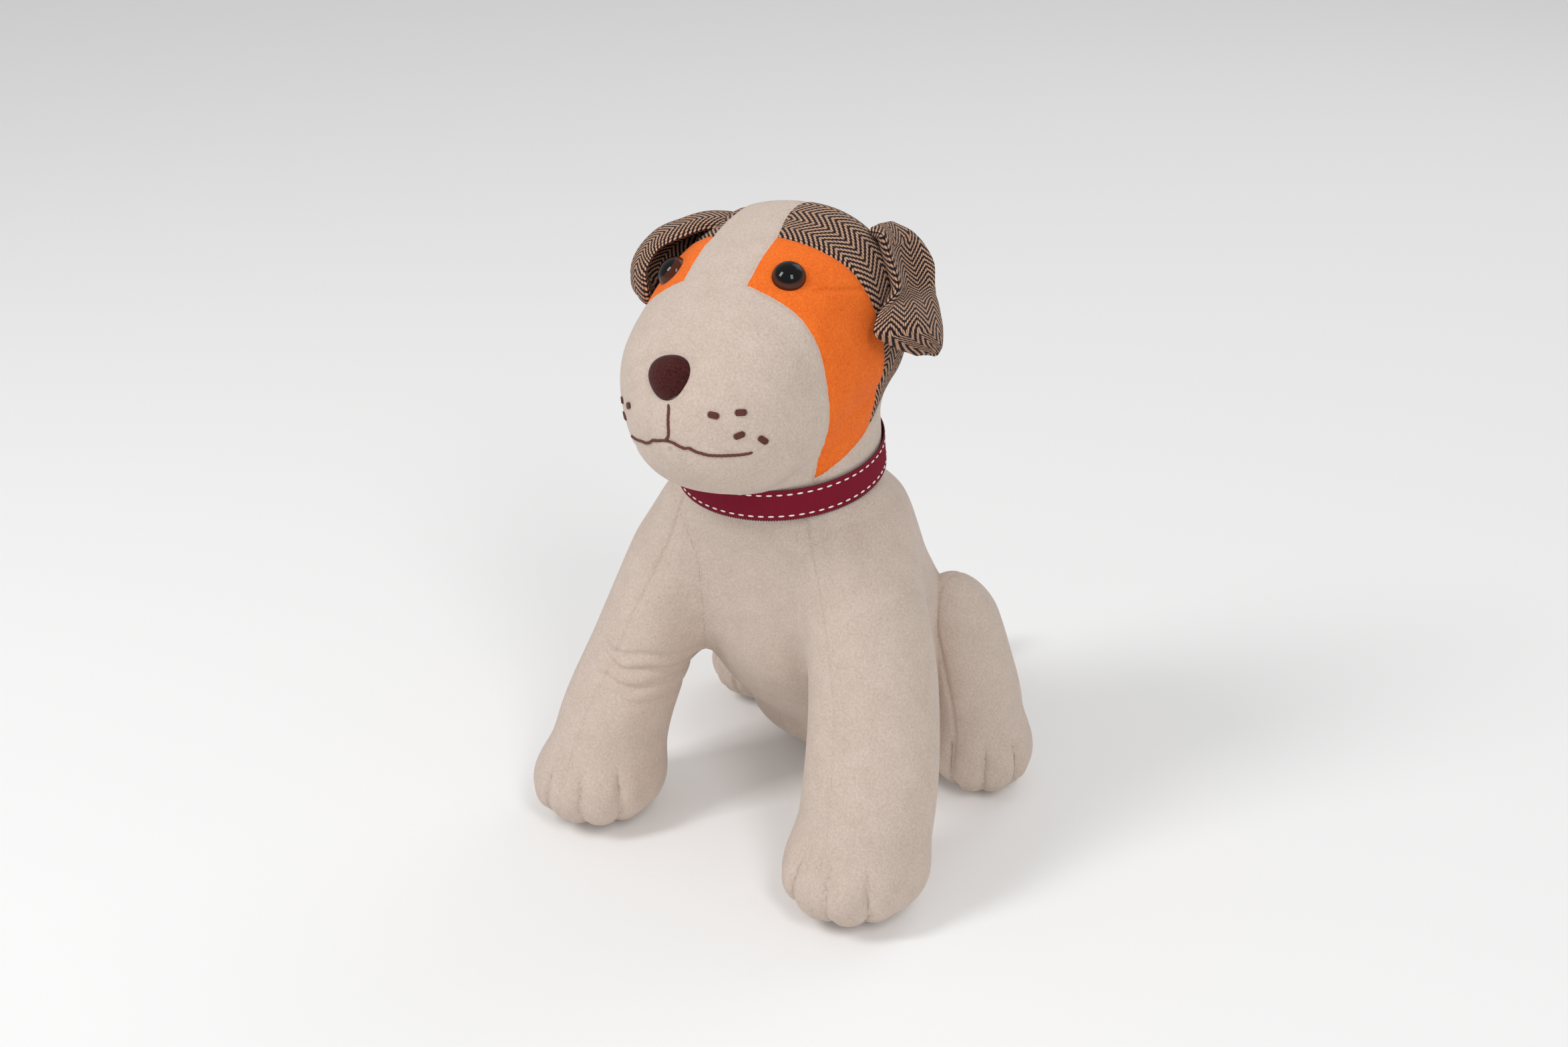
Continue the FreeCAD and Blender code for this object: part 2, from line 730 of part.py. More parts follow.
def facing(point, normal, up=Z_AXIS):
    """Placement with +Z along a normal and +Y as near to up as it can be."""
    across = up.cross(normal).normalize()
    return Placement(point, Rotation(across, normal.cross(across), normal, "ZXY"))


def build_eye(label, seat):
    """A safety eye: a dome on a plain shank, made by turning one profile."""
    body = doc.addObject("PartDesign::Body", label + "_body")
    sketch = new_sketch(body, label + "_profile", "XZ_Plane")
    radius, dome = dim("eye_radius"), dim("eye_dome")
    shank, tail = dim("eye_shank_radius"), -dim("eye_shank_length")
    bulge = (radius * radius + dome * dome) / (2 * dome)
    centre = Vector(0, dome - bulge, 0)
    start = math.asin((bulge - dome) / bulge)
    circle = Part.Circle(centre, Z_AXIS, bulge)
    sketch.addGeometry(Part.ArcOfCircle(circle, start, math.pi / 2), False)
    corners = [
        Vector(0, dome, 0),
        Vector(0, tail, 0),
        Vector(shank, tail, 0),
        Vector(shank, 0, 0),
        Vector(radius, 0, 0),
    ]
    for first, second in zip(corners, corners[1:]):
        sketch.addGeometry(Part.LineSegment(first, second), False)
    turned = body.newObject("PartDesign::Revolution", label + "_turned")
    turned.Profile = sketch
    turned.ReferenceAxis = (sketch, ["V_Axis"])
    turned.Angle = 360
    body.Placement = seat
    return keep(body, label)


def build_washer(label, seat, shank):
    """The plastic lock washer behind the fabric."""
    top = -dim("washer_depth")
    low = top - dim("washer_thickness")
    return keep(ring(label + "_ring", ("washer_radius", 0.0), (shank, 0.0), low, top, seat), label)


def prism(corners, height):
    """An upright solid over a polygon that lies in the XY plane."""
    return Part.Face(Part.makePolygon(corners + corners[:1])).extrude(Z_AXIS * height)


def build_nose(seat):
    """The nose: a rounded triangle on a shank."""
    half = dim("nose_halfwidth")
    tall = dim("nose_height")
    corner = dim("nose_corner")
    thick = dim("nose_thickness")
    upper = tall / 2 - corner
    spots = [Vector(-half + corner, upper, 0), Vector(half - corner, upper, 0), Vector(0, -upper, 0)]
    posts = [Part.makeCylinder(corner, thick, spot, Z_AXIS) for spot in spots]
    solid = prism(spots, thick).fuse(posts)
    for first, second in zip(spots, spots[1:] + spots[:1]):
        across = Vector(second - first).normalize().cross(Z_AXIS) * corner
        slab = [first - across, second - across, second + across, first + across]
        solid = solid.fuse(prism(slab, thick))
    solid = solid.removeSplitter()
    front = [edge for edge in solid.Edges if edge.BoundBox.ZMin > thick / 2]
    solid = solid.makeFillet(thick * NOSE_ROUNDING, front)
    shank = Part.makeCylinder(dim("nose_shank_radius"), dim("nose_shank_length"), Vector(0, 0, 0), -Z_AXIS)
    node = doc.addObject("Part::Feature", "nose_solid")
    node.Shape = solid.fuse(shank)
    node.Placement = seat
    return keep(node, "nose_button")


def drill(name, solid, seats):
    """Cut a round pocket into a solid under each seat."""
    for index, (seat, radius, depth) in enumerate(seats):
        start = seat * Placement(Vector(0, 0, -depth), Rotation())
        tool = cylinder("%s_drill%d" % (name, index), radius, depth + dim("drill_above"), start)
        solid = boolean("Cut", "%s_drilled%d" % (name, index), solid, tool)
    return solid


def seat_on(face, across, up):
    """Placement on the front of the head at a sideways and an upward distance."""
    point, normal = surface_point(face.Shape, Vector(across, 0, up), Vector(0, -1, 0))
    return facing(point, normal)


def build_head_skin(frame, shank_holes):
    """The six sewn panels of the head's skin."""
    shell = boolean("Cut", "head_shell", head_loft("head_outer", SKIN), head_loft("head_inner", LINING))
    shell = clear_neck(shell, "head_skin", 0.0)
    shell = drill("head_shell", shell, shank_holes)
    for label, blocks in head_zones().items():
        zone = zone_solid(label, blocks)
        panel = boolean("Common", label + "_cut", copy_of(shell, label + "_source"), zone)
        panel.Placement = frame
        keep(panel, label)


def build_head_fill(frame, seats):
    """The head's stuffing, with a pocket behind each button."""
    depth = dim("eye_shank_length") + 1.0
    pockets = [(seat, "dims.washer_radius + dims.gap", depth) for seat in seats]
    fill = clear_neck(head_loft("head_fill", FILL), "head_fill", dim("gap"))
    fill = drill("head_fill", fill, pockets)
    fill.Placement = frame
    keep(fill, "head_stuffing")


def build_head():
    """Skin panels, stuffing, eyes, nose and the embroidery, all placed by the head's frame."""
    frame = head_placement()
    face = head_loft("face_form", SKIN)
    doc.recompute()
    eye_seats = {side: seat_on(face, side * dim("eye_x"), dim("eye_up")) for side in (1, -1)}
    nose_seat = seat_on(face, 0.0, dim("nose_up"))
    deep = dim("shank_hole_depth")
    shank_holes = [(seat, "dims.eye_shank_radius + dims.gap", deep) for seat in eye_seats.values()]
    shank_holes.append((nose_seat, "dims.nose_shank_radius + dims.gap", deep))
    build_head_skin(frame, shank_holes)
    build_head_fill(frame, list(eye_seats.values()) + [nose_seat])
    for side, seat in eye_seats.items():
        build_eye("eye_" + side_name(side), frame * seat)
        build_washer("eye_washer_" + side_name(side), frame * seat, "eye_shank_radius")
    build_nose(frame * nose_seat)
    build_washer("nose_washer", frame * nose_seat, "nose_shank_radius")
    build_embroidery(face.Shape, frame)
    face.Visibility = False


def build_embroidery(form, frame):
    """The mouth line and the freckles, as groups of separate stitches lying on the fabric."""
    radius = dim("thread_radius")
    lines = [[(0, up) for up in PHILTRUM]]
    for side in (1, -1):
        lines.append([(side * across, up) for across, up in MOUTH_LINE])
    stitches = []
    for line in lines:
        rays = [direction(across, up) for across, up in line]
        points = [surface_point(form, MUZZLE_MIDDLE, ray, radius * THREAD_LIFT)[0] for ray in rays]
        stitches += thread_run(points, radius)
    keep(group("mouth_solid", stitches, frame), "mouth_embroidery")
    dots = []
    for side in (1, -1):
        for across, up in FRECKLES:
            ray = direction(side * across, up)
            point, normal = surface_point(form, MUZZLE_MIDDLE, ray, dim("freckle_clear"))
            dots.append(Part.makeCylinder(dim("freckle_radius"), dim("freckle_height"), point, normal))
    keep(group("freckle_solid", dots, frame), "freckle_stitches")


# ---------------------------------------------------------------- ears


def build_ear(side):
    """One ear: an outer and an inner half, face to face, hanging beside the head."""
    tag = "ear_" + side_name(side)
    sections = []
    for station in EAR_STATIONS:
        centre = Vector(0, 0, -dim(station + "_down"))
        wide, thick = station + "_width", station + "_thick"
        sections.append(ellipse(tag + "_" + station, wide, thick, SKIN, "0", centre, Rotation()))
    solid = loft(tag + "_loft", sections)
    root = Vector(side * dim("ear_root_x"), dim("ear_root_y"), dim("ear_root_up"))
    turn = Rotation(Z_AXIS, side * (90 - dim("ear_turn")))
    spread = Rotation(Y_AXIS, -side * dim("ear_spread"))
    place = Placement(root, spread * turn)
    solid.Placement = place
    skull = head_loft(tag + "_skull", SKIN, "dims.clearance")
    solid = boolean("Cut", tag + "_fitted", solid, skull)
    halves = {"outer": (-FAR, -dim("gap")), "inner": (dim("gap"), FAR)}
    for part, (low, high) in halves.items():
        name = "%s_%s" % (tag, part)
        zone = box(name + "_zone", (0, 0, 0), (2 * FAR, high - low, 2 * FAR))
        zone.Placement = place * Placement(Vector(-FAR, low, -FAR), Rotation())
        half = boolean("Common", name, copy_of(solid, name + "_source"), zone)
        half.Placement = head_placement()
        keep(half, name + "_panel")


# ---------------------------------------------------------------- build, check, write


def centre_on_floor():
    """Move every sub-part so that the origin is under the middle of the whole dog."""
    doc.recompute()
    shift = Placement(Vector(0, -dim("stand_forward"), 0), Rotation())
    for feature in subparts:
        feature.Placement = shift * feature.Placement


def check_and_write():
    """Stop on any failed feature or bad shape, then write one file for each sub-part."""
    doc.recompute()
    for feature in doc.Objects:
        if "Invalid" in feature.State or "Error" in feature.State:
            raise RuntimeError("%s is %s" % (feature.Name, feature.State))
    for feature in subparts:
        if feature.Shape.isNull() or not feature.Shape.isValid() or not feature.Shape.Solids:
            raise RuntimeError("%s has no valid solid" % feature.Label)
    os.makedirs("parts", exist_ok=True)
    for feature in subparts:
        feature.Shape.exportStep("parts/%s.step" % feature.Label)


fill_sheet()
build_torso()
build_collar()
build_neck()
for leg_side in (1, -1):
    build_leg("front_leg", FRONT_LEG_STATIONS, leg_side)
    build_leg("hind_leg", HIND_LEG_STATIONS, leg_side)
build_tail()
build_head()
for ear_side in (1, -1):
    build_ear(ear_side)
centre_on_floor()
check_and_write()
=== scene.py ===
import json
import math

import bmesh
import bpy
import numpy as np
from mathutils import Matrix, Vector


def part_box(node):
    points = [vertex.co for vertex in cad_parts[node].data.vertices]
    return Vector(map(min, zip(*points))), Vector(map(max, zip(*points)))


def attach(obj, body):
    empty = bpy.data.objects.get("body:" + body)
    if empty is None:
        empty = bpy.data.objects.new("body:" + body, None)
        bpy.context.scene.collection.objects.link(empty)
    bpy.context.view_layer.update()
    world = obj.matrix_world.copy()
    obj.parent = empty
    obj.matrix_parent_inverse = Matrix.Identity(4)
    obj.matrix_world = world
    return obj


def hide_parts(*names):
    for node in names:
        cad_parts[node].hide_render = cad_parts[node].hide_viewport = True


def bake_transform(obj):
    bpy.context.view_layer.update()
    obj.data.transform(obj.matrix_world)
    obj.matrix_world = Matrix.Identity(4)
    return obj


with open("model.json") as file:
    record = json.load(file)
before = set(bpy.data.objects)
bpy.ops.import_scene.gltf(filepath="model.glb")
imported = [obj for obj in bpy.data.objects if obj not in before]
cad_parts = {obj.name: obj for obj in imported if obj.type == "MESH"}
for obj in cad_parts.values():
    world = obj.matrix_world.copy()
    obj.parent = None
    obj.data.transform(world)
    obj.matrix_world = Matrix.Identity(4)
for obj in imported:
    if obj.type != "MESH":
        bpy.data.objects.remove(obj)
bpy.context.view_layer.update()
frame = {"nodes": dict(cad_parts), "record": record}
record = frame["record"]

MM = 0.001
# keeps divisions away from zero
TINY = 1e-9

# ---- where things are, from the frame


def joint(name):
    """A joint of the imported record."""
    return next(j for j in record["behaviour"]["joints"] if j["name"] == name)


def to_mm(point):
    """A place given in metres, in mm."""
    return np.array(point, float) / MM


SEAT = to_mm(record["mounts"][0]["pos_m"])
NECK = to_mm(joint("head_turn")["pos_m"])
NECK_AXIS = np.array(joint("head_turn")["axis"], float)
TAIL = to_mm(joint("tail_wag")["pos_m"])
EYES = {side: np.mean([to_mm(c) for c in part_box("eye_" + side)], axis=0) for side in ("left", "right")}
NOSE = np.mean([to_mm(c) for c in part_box("nose_button")], axis=0)

# the pattern's own origin: on the floor, on the line between the front paws
PATTERN = SEAT - np.array([0.0, 79.0, 0.0])


def turned(axis, degrees):
    """Rotation matrix about one axis."""
    return np.array(Matrix.Rotation(math.radians(degrees), 3, axis))


# the head's own frame: its middle, and how it is turned, leaned and tipped
HEAD_MIDDLE = PATTERN + np.array([-3.0, -15.0, 266.0])
HEAD_TURN = turned("Z", -2) @ turned("Y", -9) @ turned("X", 7)


def from_head(points):
    """Points in the head's frame, moved to the row frame (mm)."""
    return np.asarray(points, float) @ HEAD_TURN.T + HEAD_MIDDLE


def to_head(points):
    """Points in the row frame (mm), moved to the head's frame."""
    return (np.asarray(points, float) - HEAD_MIDDLE) @ HEAD_TURN


# ---- smooth forms as distance fields

# the least squared share of its full section that a tube keeps at its ends
CAP_LEAST = 1e-4


def profile(t, stations):
    """Columns of a station table at t, along a smooth curve that doesn't overshoot."""
    table = np.array(stations, float)
    knots = table[:, 0]
    gaps = np.diff(knots)
    t = np.clip(t, knots[0], knots[-1])
    cell = np.clip(np.searchsorted(knots, t) - 1, 0, len(knots) - 2)
    s = (t - knots[cell]) / gaps[cell]
    columns = []
    for values in table[:, 1:].T:
        slopes = np.diff(values) / gaps
        tangents = np.zeros(len(knots))
        tangents[0], tangents[-1] = slopes[0], slopes[-1]
        for i in range(1, len(knots) - 1):
            if slopes[i - 1] * slopes[i] > 0:
                tangents[i] = 2 * slopes[i - 1] * slopes[i] / (slopes[i - 1] + slopes[i])
        low, high = values[cell], values[cell + 1]
        rise = gaps[cell] * tangents[cell]
        fall = gaps[cell] * tangents[cell + 1]
        columns.append((1 + 2 * s) * (1 - s) ** 2 * low + s * (1 - s) ** 2 * rise
                       + s * s * (3 - 2 * s) * high + s * s * (s - 1) * fall)
    return columns


def tube(t, u, v, stations, ends, rounding, power=2.0):
    """Field of a form whose oval section (u0, v0, half u, half v) changes along t, with rounded ends."""
    u0, v0, wide, deep = profile(t, stations)
    low = 1 - np.clip((t - ends[0]) / rounding[0], 0, 1)
    high = 1 - np.clip((ends[1] - t) / rounding[1], 0, 1)
    cap = np.sqrt(np.clip(1 - low ** 2, CAP_LEAST, 1)) * np.sqrt(np.clip(1 - high ** 2, CAP_LEAST, 1))
    wide, deep = wide * cap, deep * cap
    ratio = (np.abs((u - u0) / wide) ** power + np.abs((v - v0) / deep) ** power) ** (1 / power)
    beyond = np.maximum(ends[0] - t, t - ends[1])
    return np.maximum((ratio - 1) * np.minimum(wide, deep), beyond)


def ball(points, centre, radii, turn):
    """Field of an ellipsoid, turned about its centre."""
    local = (points - np.array(centre, float)) @ turn
    radii = np.array(radii, float)
    near = np.linalg.norm(local / radii, axis=-1)
    far = np.linalg.norm(local / radii ** 2, axis=-1) + TINY
    return near * (near - 1) / far


def melt(a, b, width):
    """Smooth union of two fields."""
    share = np.clip(0.5 + 0.5 * (b - a) / width, 0, 1)
    return b + (a - b) * share - width * share * (1 - share)


# ---- meshes from fields

# a cell's corners, and its edges as pairs of corners that differ in one bit
CORNERS = [(i & 1, i >> 1 & 1, i >> 2) for i in range(8)]
CELL_EDGES = [(i, i | bit) for bit in (1, 2, 4) for i in range(8) if not i & bit]
# limits of one step of a point towards a surface
STEP_LIMIT = 2
SLOPE_LEAST = 1e-6
# a vertex nearer to a seam than this (mm) counts as beside it
ON_SEAM = 0.05


def net(field, low, high, step):
    """Vertices and quads of a field's zero surface, one vertex in each cell that it crosses."""
    axes = [np.arange(low[k], high[k] + step, step) for k in range(3)]
    points = np.stack(np.meshgrid(*axes, indexing="ij"), -1)
    value = field(points)
    inside = value < 0
    shape = np.array(value.shape) - 1
    count = np.zeros(shape, int)
    for corner in CORNERS:
        window = tuple(slice(c, c + n) for c, n in zip(corner, shape))
        count += inside[window]
    cells = np.argwhere((count > 0) & (count < 8))
    total = np.zeros((len(cells), 3))
    hits = np.zeros(len(cells))
    for first, second in CELL_EDGES:
        a, b = np.array(CORNERS[first]), np.array(CORNERS[second])
        va = value[tuple((cells + a).T)]
        vb = value[tuple((cells + b).T)]
        crossing = (va < 0) != (vb < 0)
        share = np.where(crossing, va / np.where(crossing, va - vb, 1), 0)
        total += np.where(crossing[:, None], a + share[:, None] * (b - a), 0)
        hits += crossing
    vertices = np.array(low, float) + (cells + total / hits[:, None]) * step
    index = np.full(shape, -1)
    index[tuple(cells.T)] = np.arange(len(cells))
    quads = []
    for axis in range(3):
        u, v = (axis + 1) % 3, (axis + 2) % 3
        size = list(value.shape)
        size[axis] -= 1
        here = tuple(slice(0, n) for n in size)
        ahead = tuple(slice(1, n + 1) if k == axis else slice(0, n) for k, n in enumerate(size))
        for outward in (True, False):
            change = (inside[here] & ~inside[ahead]) if outward else (~inside[here] & inside[ahead])
            edges = np.argwhere(change)
            edges = edges[(edges[:, u] > 0) & (edges[:, v] > 0)
                          & (edges[:, u] < shape[u]) & (edges[:, v] < shape[v])]
            ring = []
            for du, dv in ((1, 1), (0, 1), (0, 0), (1, 0)):
                cell = edges.copy()
                cell[:, u] -= du
                cell[:, v] -= dv
                ring.append(index[tuple(cell.T)])
            quad = np.stack(ring, -1)
            quads.append(quad if outward else quad[:, ::-1])
    return vertices, np.concatenate(quads)


def settle(points, field, rounds):
    """Points moved onto a field's zero surface."""
    for _ in range(rounds):
        value = field(points)
        slope = gradient(points, field)
        length = (slope ** 2).sum(-1) + SLOPE_LEAST
        points = points - np.clip(value / length, -STEP_LIMIT, STEP_LIMIT)[:, None] * slope
    return points


def gradient(points, field, reach=0.4):
    """Slope of a field at points."""
    slope = np.zeros_like(points)
    for axis in range(3):
        offset = np.zeros(3)
        offset[axis] = reach
        slope[:, axis] = (field(points + offset) - field(points - offset)) / (2 * reach)
    return slope


def unit(vectors):
    """Vectors of length one."""
    return vectors / (np.linalg.norm(vectors, axis=-1, keepdims=True) + TINY)


def mesh_object(name, vertices, faces, smooth=True):
    """A Blender object from vertices in mm."""
    mesh = bpy.data.meshes.new(name)
    mesh.from_pydata((np.asarray(vertices) * MM).tolist(), [], [list(map(int, f)) for f in faces])
    mesh.validate()
    mesh.polygons.foreach_set("use_smooth", [smooth] * len(mesh.polygons))
    thing = bpy.data.objects.new(name, mesh)
    bpy.context.scene.collection.objects.link(thing)
    return thing


def places(thing):
    """Vertex positions of an object, in mm."""
    flat = np.empty(len(thing.data.vertices) * 3)
    thing.data.vertices.foreach_get("co", flat)
    return flat.reshape(-1, 3) / MM


def put(thing, points):
    """Write vertex positions, given in mm."""
    thing.data.vertices.foreach_set("co", (np.asarray(points) * MM).ravel())
    thing.data.update()


def slice_mesh(thing, scalars):
    """Cut an object's faces exactly along the zero lines of scalar functions of position."""
    edit = bmesh.new()
    edit.from_mesh(thing.data)
    for scalar in scalars:
        edit.verts.ensure_lookup_table()
        spots = np.array([v.co for v in edit.verts]) / MM
        values = scalar(spots)
        values[np.abs(values) < ON_SEAM] = ON_SEAM
        by_vertex = dict(zip(edit.verts, values))
        crossing = [e for e in edit.edges if by_vertex[e.verts[0]] * by_vertex[e.verts[1]] < 0]
        fresh = []
        for edge in crossing:
            first, second = edge.verts
            a, b = by_vertex[first], by_vertex[second]
            _, vertex = bmesh.utils.edge_split(edge, first, a / (a - b))
            fresh.append(vertex)
        bmesh.ops.connect_verts(edit, verts=fresh)
    edit.to_mesh(thing.data)
    edit.free()


def split_by(thing, label_of, names):
    """One object for each label that label_of gives to the face centres."""
    mesh = thing.data
    centres = np.empty(len(mesh.polygons) * 3)
    mesh.polygons.foreach_get("center", centres)
    labels = label_of(centres.reshape(-1, 3) / MM)
    vertices = places(thing)
    faces = [tuple(p.vertices) for p in mesh.polygons]
    pieces = {}
    for number, name in enumerate(names):
        chosen = [faces[i] for i in np.flatnonzero(labels == number)]
        if not chosen:
            continue
        used = sorted({v for face in chosen for v in face})
        slot = {v: i for i, v in enumerate(used)}
        pieces[name] = mesh_object(name, vertices[used], [[slot[v] for v in face] for face in chosen])
    bpy.data.objects.remove(thing)
    return pieces


def refine(thing):
    """Subdivide an object once and keep the result."""
    modifier = thing.modifiers.new("refine", "SUBSURF")
    modifier.levels = 1
    modifier.boundary_smooth = "PRESERVE_CORNERS"
    graph = bpy.context.evaluated_depsgraph_get()
    mesh = bpy.data.meshes.new_from_object(thing.evaluated_get(graph))
    thing.modifiers.clear()
    thing.data = mesh


# ---- the body's forms

# height: out, back from the pattern's origin, half width, half depth
TRUNK = [(0, 0, 79, 56, 52), (36, 0, 75, 66, 62), (56, 0, 63, 66.5, 70), (80, 0, 48, 65, 75),
         (120, 0, 22, 61.5, 62), (160, 0, 6, 59, 52.5), (177, 0, 0, 56, 51),
         (192, 0, -9, 49, 45.5), (201, 0, -12, 47, 44), (236, 0, -16, 46, 44)]
# the left foreleg is stuffed a little wider than the right
FRONT_LEGS = {
    1: [(0, 78, -64, 30, 30), (46, 79.5, -58, 33, 33), (100, 68.5, -35, 31.5, 31.5),
        (146, 53.5, -21, 29, 30.5), (186, 38, -12, 20, 25)],
    -1: [(0, 79, -64, 28, 30), (46, 76, -58, 29, 32), (100, 65.5, -35, 28, 30.5),
         (146, 51.5, -21, 27, 30), (186, 37, -12, 19, 25)],
}
# middle, half sizes and how far each paw is turned out; the right forepaw is turned in
FRONT_PAWS = {1: ((79, -69, 21), (33, 35.5, 22), 8), -1: ((79, -68, 21), (32.5, 34.5, 22), -22)}
# the right hind leg lies further back, its paw turned out
HIND_LEGS = {
    1: [(0, 75, 71, 20, 25), (45, 74, 67, 21.5, 27.5), (82, 67.5, 63, 20, 26), (117, 58, 60, 18, 23)],
    -1: [(0, 76, 84, 20, 23), (45, 74, 77, 21.5, 25), (82, 67.5, 66, 20, 25), (117, 58, 60, 18, 23)],
}
HIND_PAWS = {1: ((76, 69, 20), (26, 31, 21), 30), -1: ((79, 85, 20), (26, 25, 21), 72)}
# how widely one form runs into the next
FRONT_PAW_MELT = 14
HIND_PAW_MELT = 12
SHOULDER_MELT = 20
NECK_MELT = 9


def in_pattern(points):
    """Points in the row frame (mm), moved to the pattern's origin."""
    return points - PATTERN


def trunk_field(p):
    """The body without its legs."""
    x, y, z = p[..., 0], p[..., 1], p[..., 2]
    return tube(z, x, y, TRUNK, (0, 214), (26, 6), 2.15)


def leg_with_paw(p, stations, ends, paw, width):
    """A leg along its stations, run together with its paw."""
    centre, radii, yaw = paw
    leg = tube(p[..., 2], p[..., 0], p[..., 1], stations, ends, (20, 24))
    return melt(leg, ball(p, centre, radii, turned("Z", yaw)), width)


def front_leg_field(p, side):
    """The left (1) or right (-1) front leg with its paw."""
    p = p * np.array([side, 1.0, 1.0])
    return leg_with_paw(p, FRONT_LEGS[side], (2, 195), FRONT_PAWS[side], FRONT_PAW_MELT)


def hind_leg_field(p, side):
    """The left (1) or right (-1) hind leg with its paw, both laid out on the left."""
    return leg_with_paw(p, HIND_LEGS[side], (2, 122), HIND_PAWS[side], HIND_PAW_MELT)


def body_field(points):
    """Trunk and both front legs."""
    p = in_pattern(points)
    body = trunk_field(p)
    for side in (1, -1):
        body = melt(body, front_leg_field(p, side), SHOULDER_MELT)
    return np.maximum(body, -p[..., 2])


# distance towards the nose: out, up, half width, half height
HEAD_STATIONS = [(-56, 1, 6, 52, 49), (-20, 1, 4.5, 57, 52), (12, 0, 0, 56.5, 52), (45, 0, -8, 52.5, 47.5),
                 (74, 0, -14, 44, 39), (90, 0, -16, 40, 34)]
# up the neck from its pivot: out, back, half sizes
NECK_STATIONS = [(-20, 0, 0, 47, 47), (0, 0, 0, 49.8, 49.8), (40, 0, 0, 50, 49)]


def head_field(q):
    """The head without its neck, in its own frame."""
    x, y, z = q[..., 0], q[..., 1], q[..., 2]
    return tube(-y, x, z, HEAD_STATIONS, (-59, 90), (34, 34), 2.35)


def neck_field(points):
    """The short fabric neck that the collar goes round."""
    local = points - NECK
    up = NECK_AXIS / np.linalg.norm(NECK_AXIS)
    back = np.cross(up, [1.0, 0.0, 0.0])
    return tube(local @ up, local[..., 0], local @ back, NECK_STATIONS, (-20, 42), (4, 20))


def groove(distance, width, depth):
    """How far a seam or crease draws a surface in, at a distance from its line."""
    return depth * np.exp(-(distance / width) ** 2)


def within(value, low, high, soft=3.0):
    """1 between low and high, falling smoothly to 0 outside them."""
    return 1 / (1 + np.exp(-(value - low) / soft)) / (1 + np.exp((value - high) / soft))


# height: how far out the seam between chest and side, then down the front of the leg, runs
SIDE_SEAM = [(0, 78), (46, 76), (100, 64), (143, 49), (165, 41), (190, 34), (230, 26)]


def seam_out(p):
    """Distance outwards from the seam that divides chest from side and inner leg from outer."""
    (line,) = profile(p[..., 2], SIDE_SEAM)
    return np.abs(p[..., 0]) - line


def leg_share(p):
    """Negative where the front leg lies further out than the trunk."""
    legs = np.minimum(front_leg_field(p, 1), front_leg_field(p, -1))
    return legs - trunk_field(p)


# degrees from one toe to the next, and the shape of the creases between them
TOE_STEP = 31
TOE_DEPTH = 4.4
TOE_SHARPNESS = 0.45
TOE_SWELL = 1.0


def toes(p, centre, yaw):
    """Four rounded toes with creases between them."""
    local = (p - np.array(centre, float)) @ turned("Z", yaw)
    heading = np.degrees(np.arctan2(local[..., 0], 6 - local[..., 1]))
    lobe = np.abs(np.sin(np.radians(heading * 180 / TOE_STEP)))
    drawn = TOE_DEPTH * (1 - lobe ** TOE_SHARPNESS) - TOE_SWELL
    ahead = within(-local[..., 1], 9, 60, 2.5) * within(p[..., 2], 2, 33, 3)
    return drawn * ahead * within(heading, -1.6 * TOE_STEP, 1.6 * TOE_STEP, 3)


# height, slant and depth of the soft creases across the right foreleg
CREASES = [(97, 0.12, 1.5), (90, 0.24, 2.2), (82, 0.08, 2.0), (75, 0.2, 1.2)]
CREASE_MIDDLE = 58
# height of the seam round the soles
SOLE_SEAM = 9.5
# how far the stuffing swells the cloth
SWELL = 0.5


def body_detail(p):
    """Seams, toes and creases drawn into the body's surface."""
    x, y, z = p[..., 0], p[..., 1], p[..., 2]
    drawn = groove(seam_out(p), 1.2, 0.8) * within(-y, -12, 200)
    drawn += groove(x, 1.3, 0.9) * within(y, 40, 200)
    for side, paw in ((1, p), (-1, p * [-1.0, 1.0, 1.0])):
        centre, _, yaw = FRONT_PAWS[side]
        drawn += toes(paw, centre, yaw) * (x * side > 0)
    drawn += groove(z - SOLE_SEAM, 1.4, 0.9) * within(-y, 30, 130)
    for height, slant, depth in CREASES:
        line = z - height + slant * (x + CREASE_MIDDLE) + 1.6 * np.sin(x * 0.21 + height)
        drawn += groove(line, 2.3, depth) * within(-x, 38, 76, 4) * within(-y, 25, 90, 6)
    swell = np.sin(x * 0.07 + z * 0.045) * np.sin(y * 0.06 - z * 0.05 + 1.3)
    return drawn + SWELL * swell


def whole_body(points):
    """The body's surface with all its detail."""
    return body_field(points) + body_detail(in_pattern(points))


# how the trunk sinks in and goes on under a front leg
SINK_RATE = 0.3
SINK_LIMIT = 3
UNDERLAP = 14
# how far each front leg stays from the middle plane
MIDDLE_GAP = 2


def trunk_part(points):
    """The trunk, carried on a little way under the front legs."""
    share = leg_share(in_pattern(points))
    sunk = whole_body(points) + np.clip(-share * SINK_RATE, 0, SINK_LIMIT)
    return np.maximum(sunk, -share - UNDERLAP)


def leg_part(side):
    """The left (1) or right (-1) front leg, with a wall where it leaves the trunk."""
    def field(points):
        p = in_pattern(points)
        wall = np.maximum(leg_share(p), MIDDLE_GAP - p[..., 0] * side)
        return np.maximum(whole_body(points), wall)
    return field


def hind_leg_part(side):
    """The left (1) or right (-1) hind leg with its seams and toes."""
    def field(points):
        p = in_pattern(points) * np.array([side, 1.0, 1.0])
        centre, _, yaw = HIND_PAWS[side]
        form = hind_leg_field(p, side) + toes(p, centre, yaw)
        middle = profile(p[..., 2], [(station[0], station[1]) for station in HIND_LEGS[side]])[0]
        form += groove(p[..., 0] - middle, 1.5, 0.8)
        form += groove(p[..., 2] - SOLE_SEAM, 1.4, 0.9) * within(-p[..., 1], -80, -30)
        return np.maximum(form, -p[..., 2])
    return field


TAIL_RISE = 8
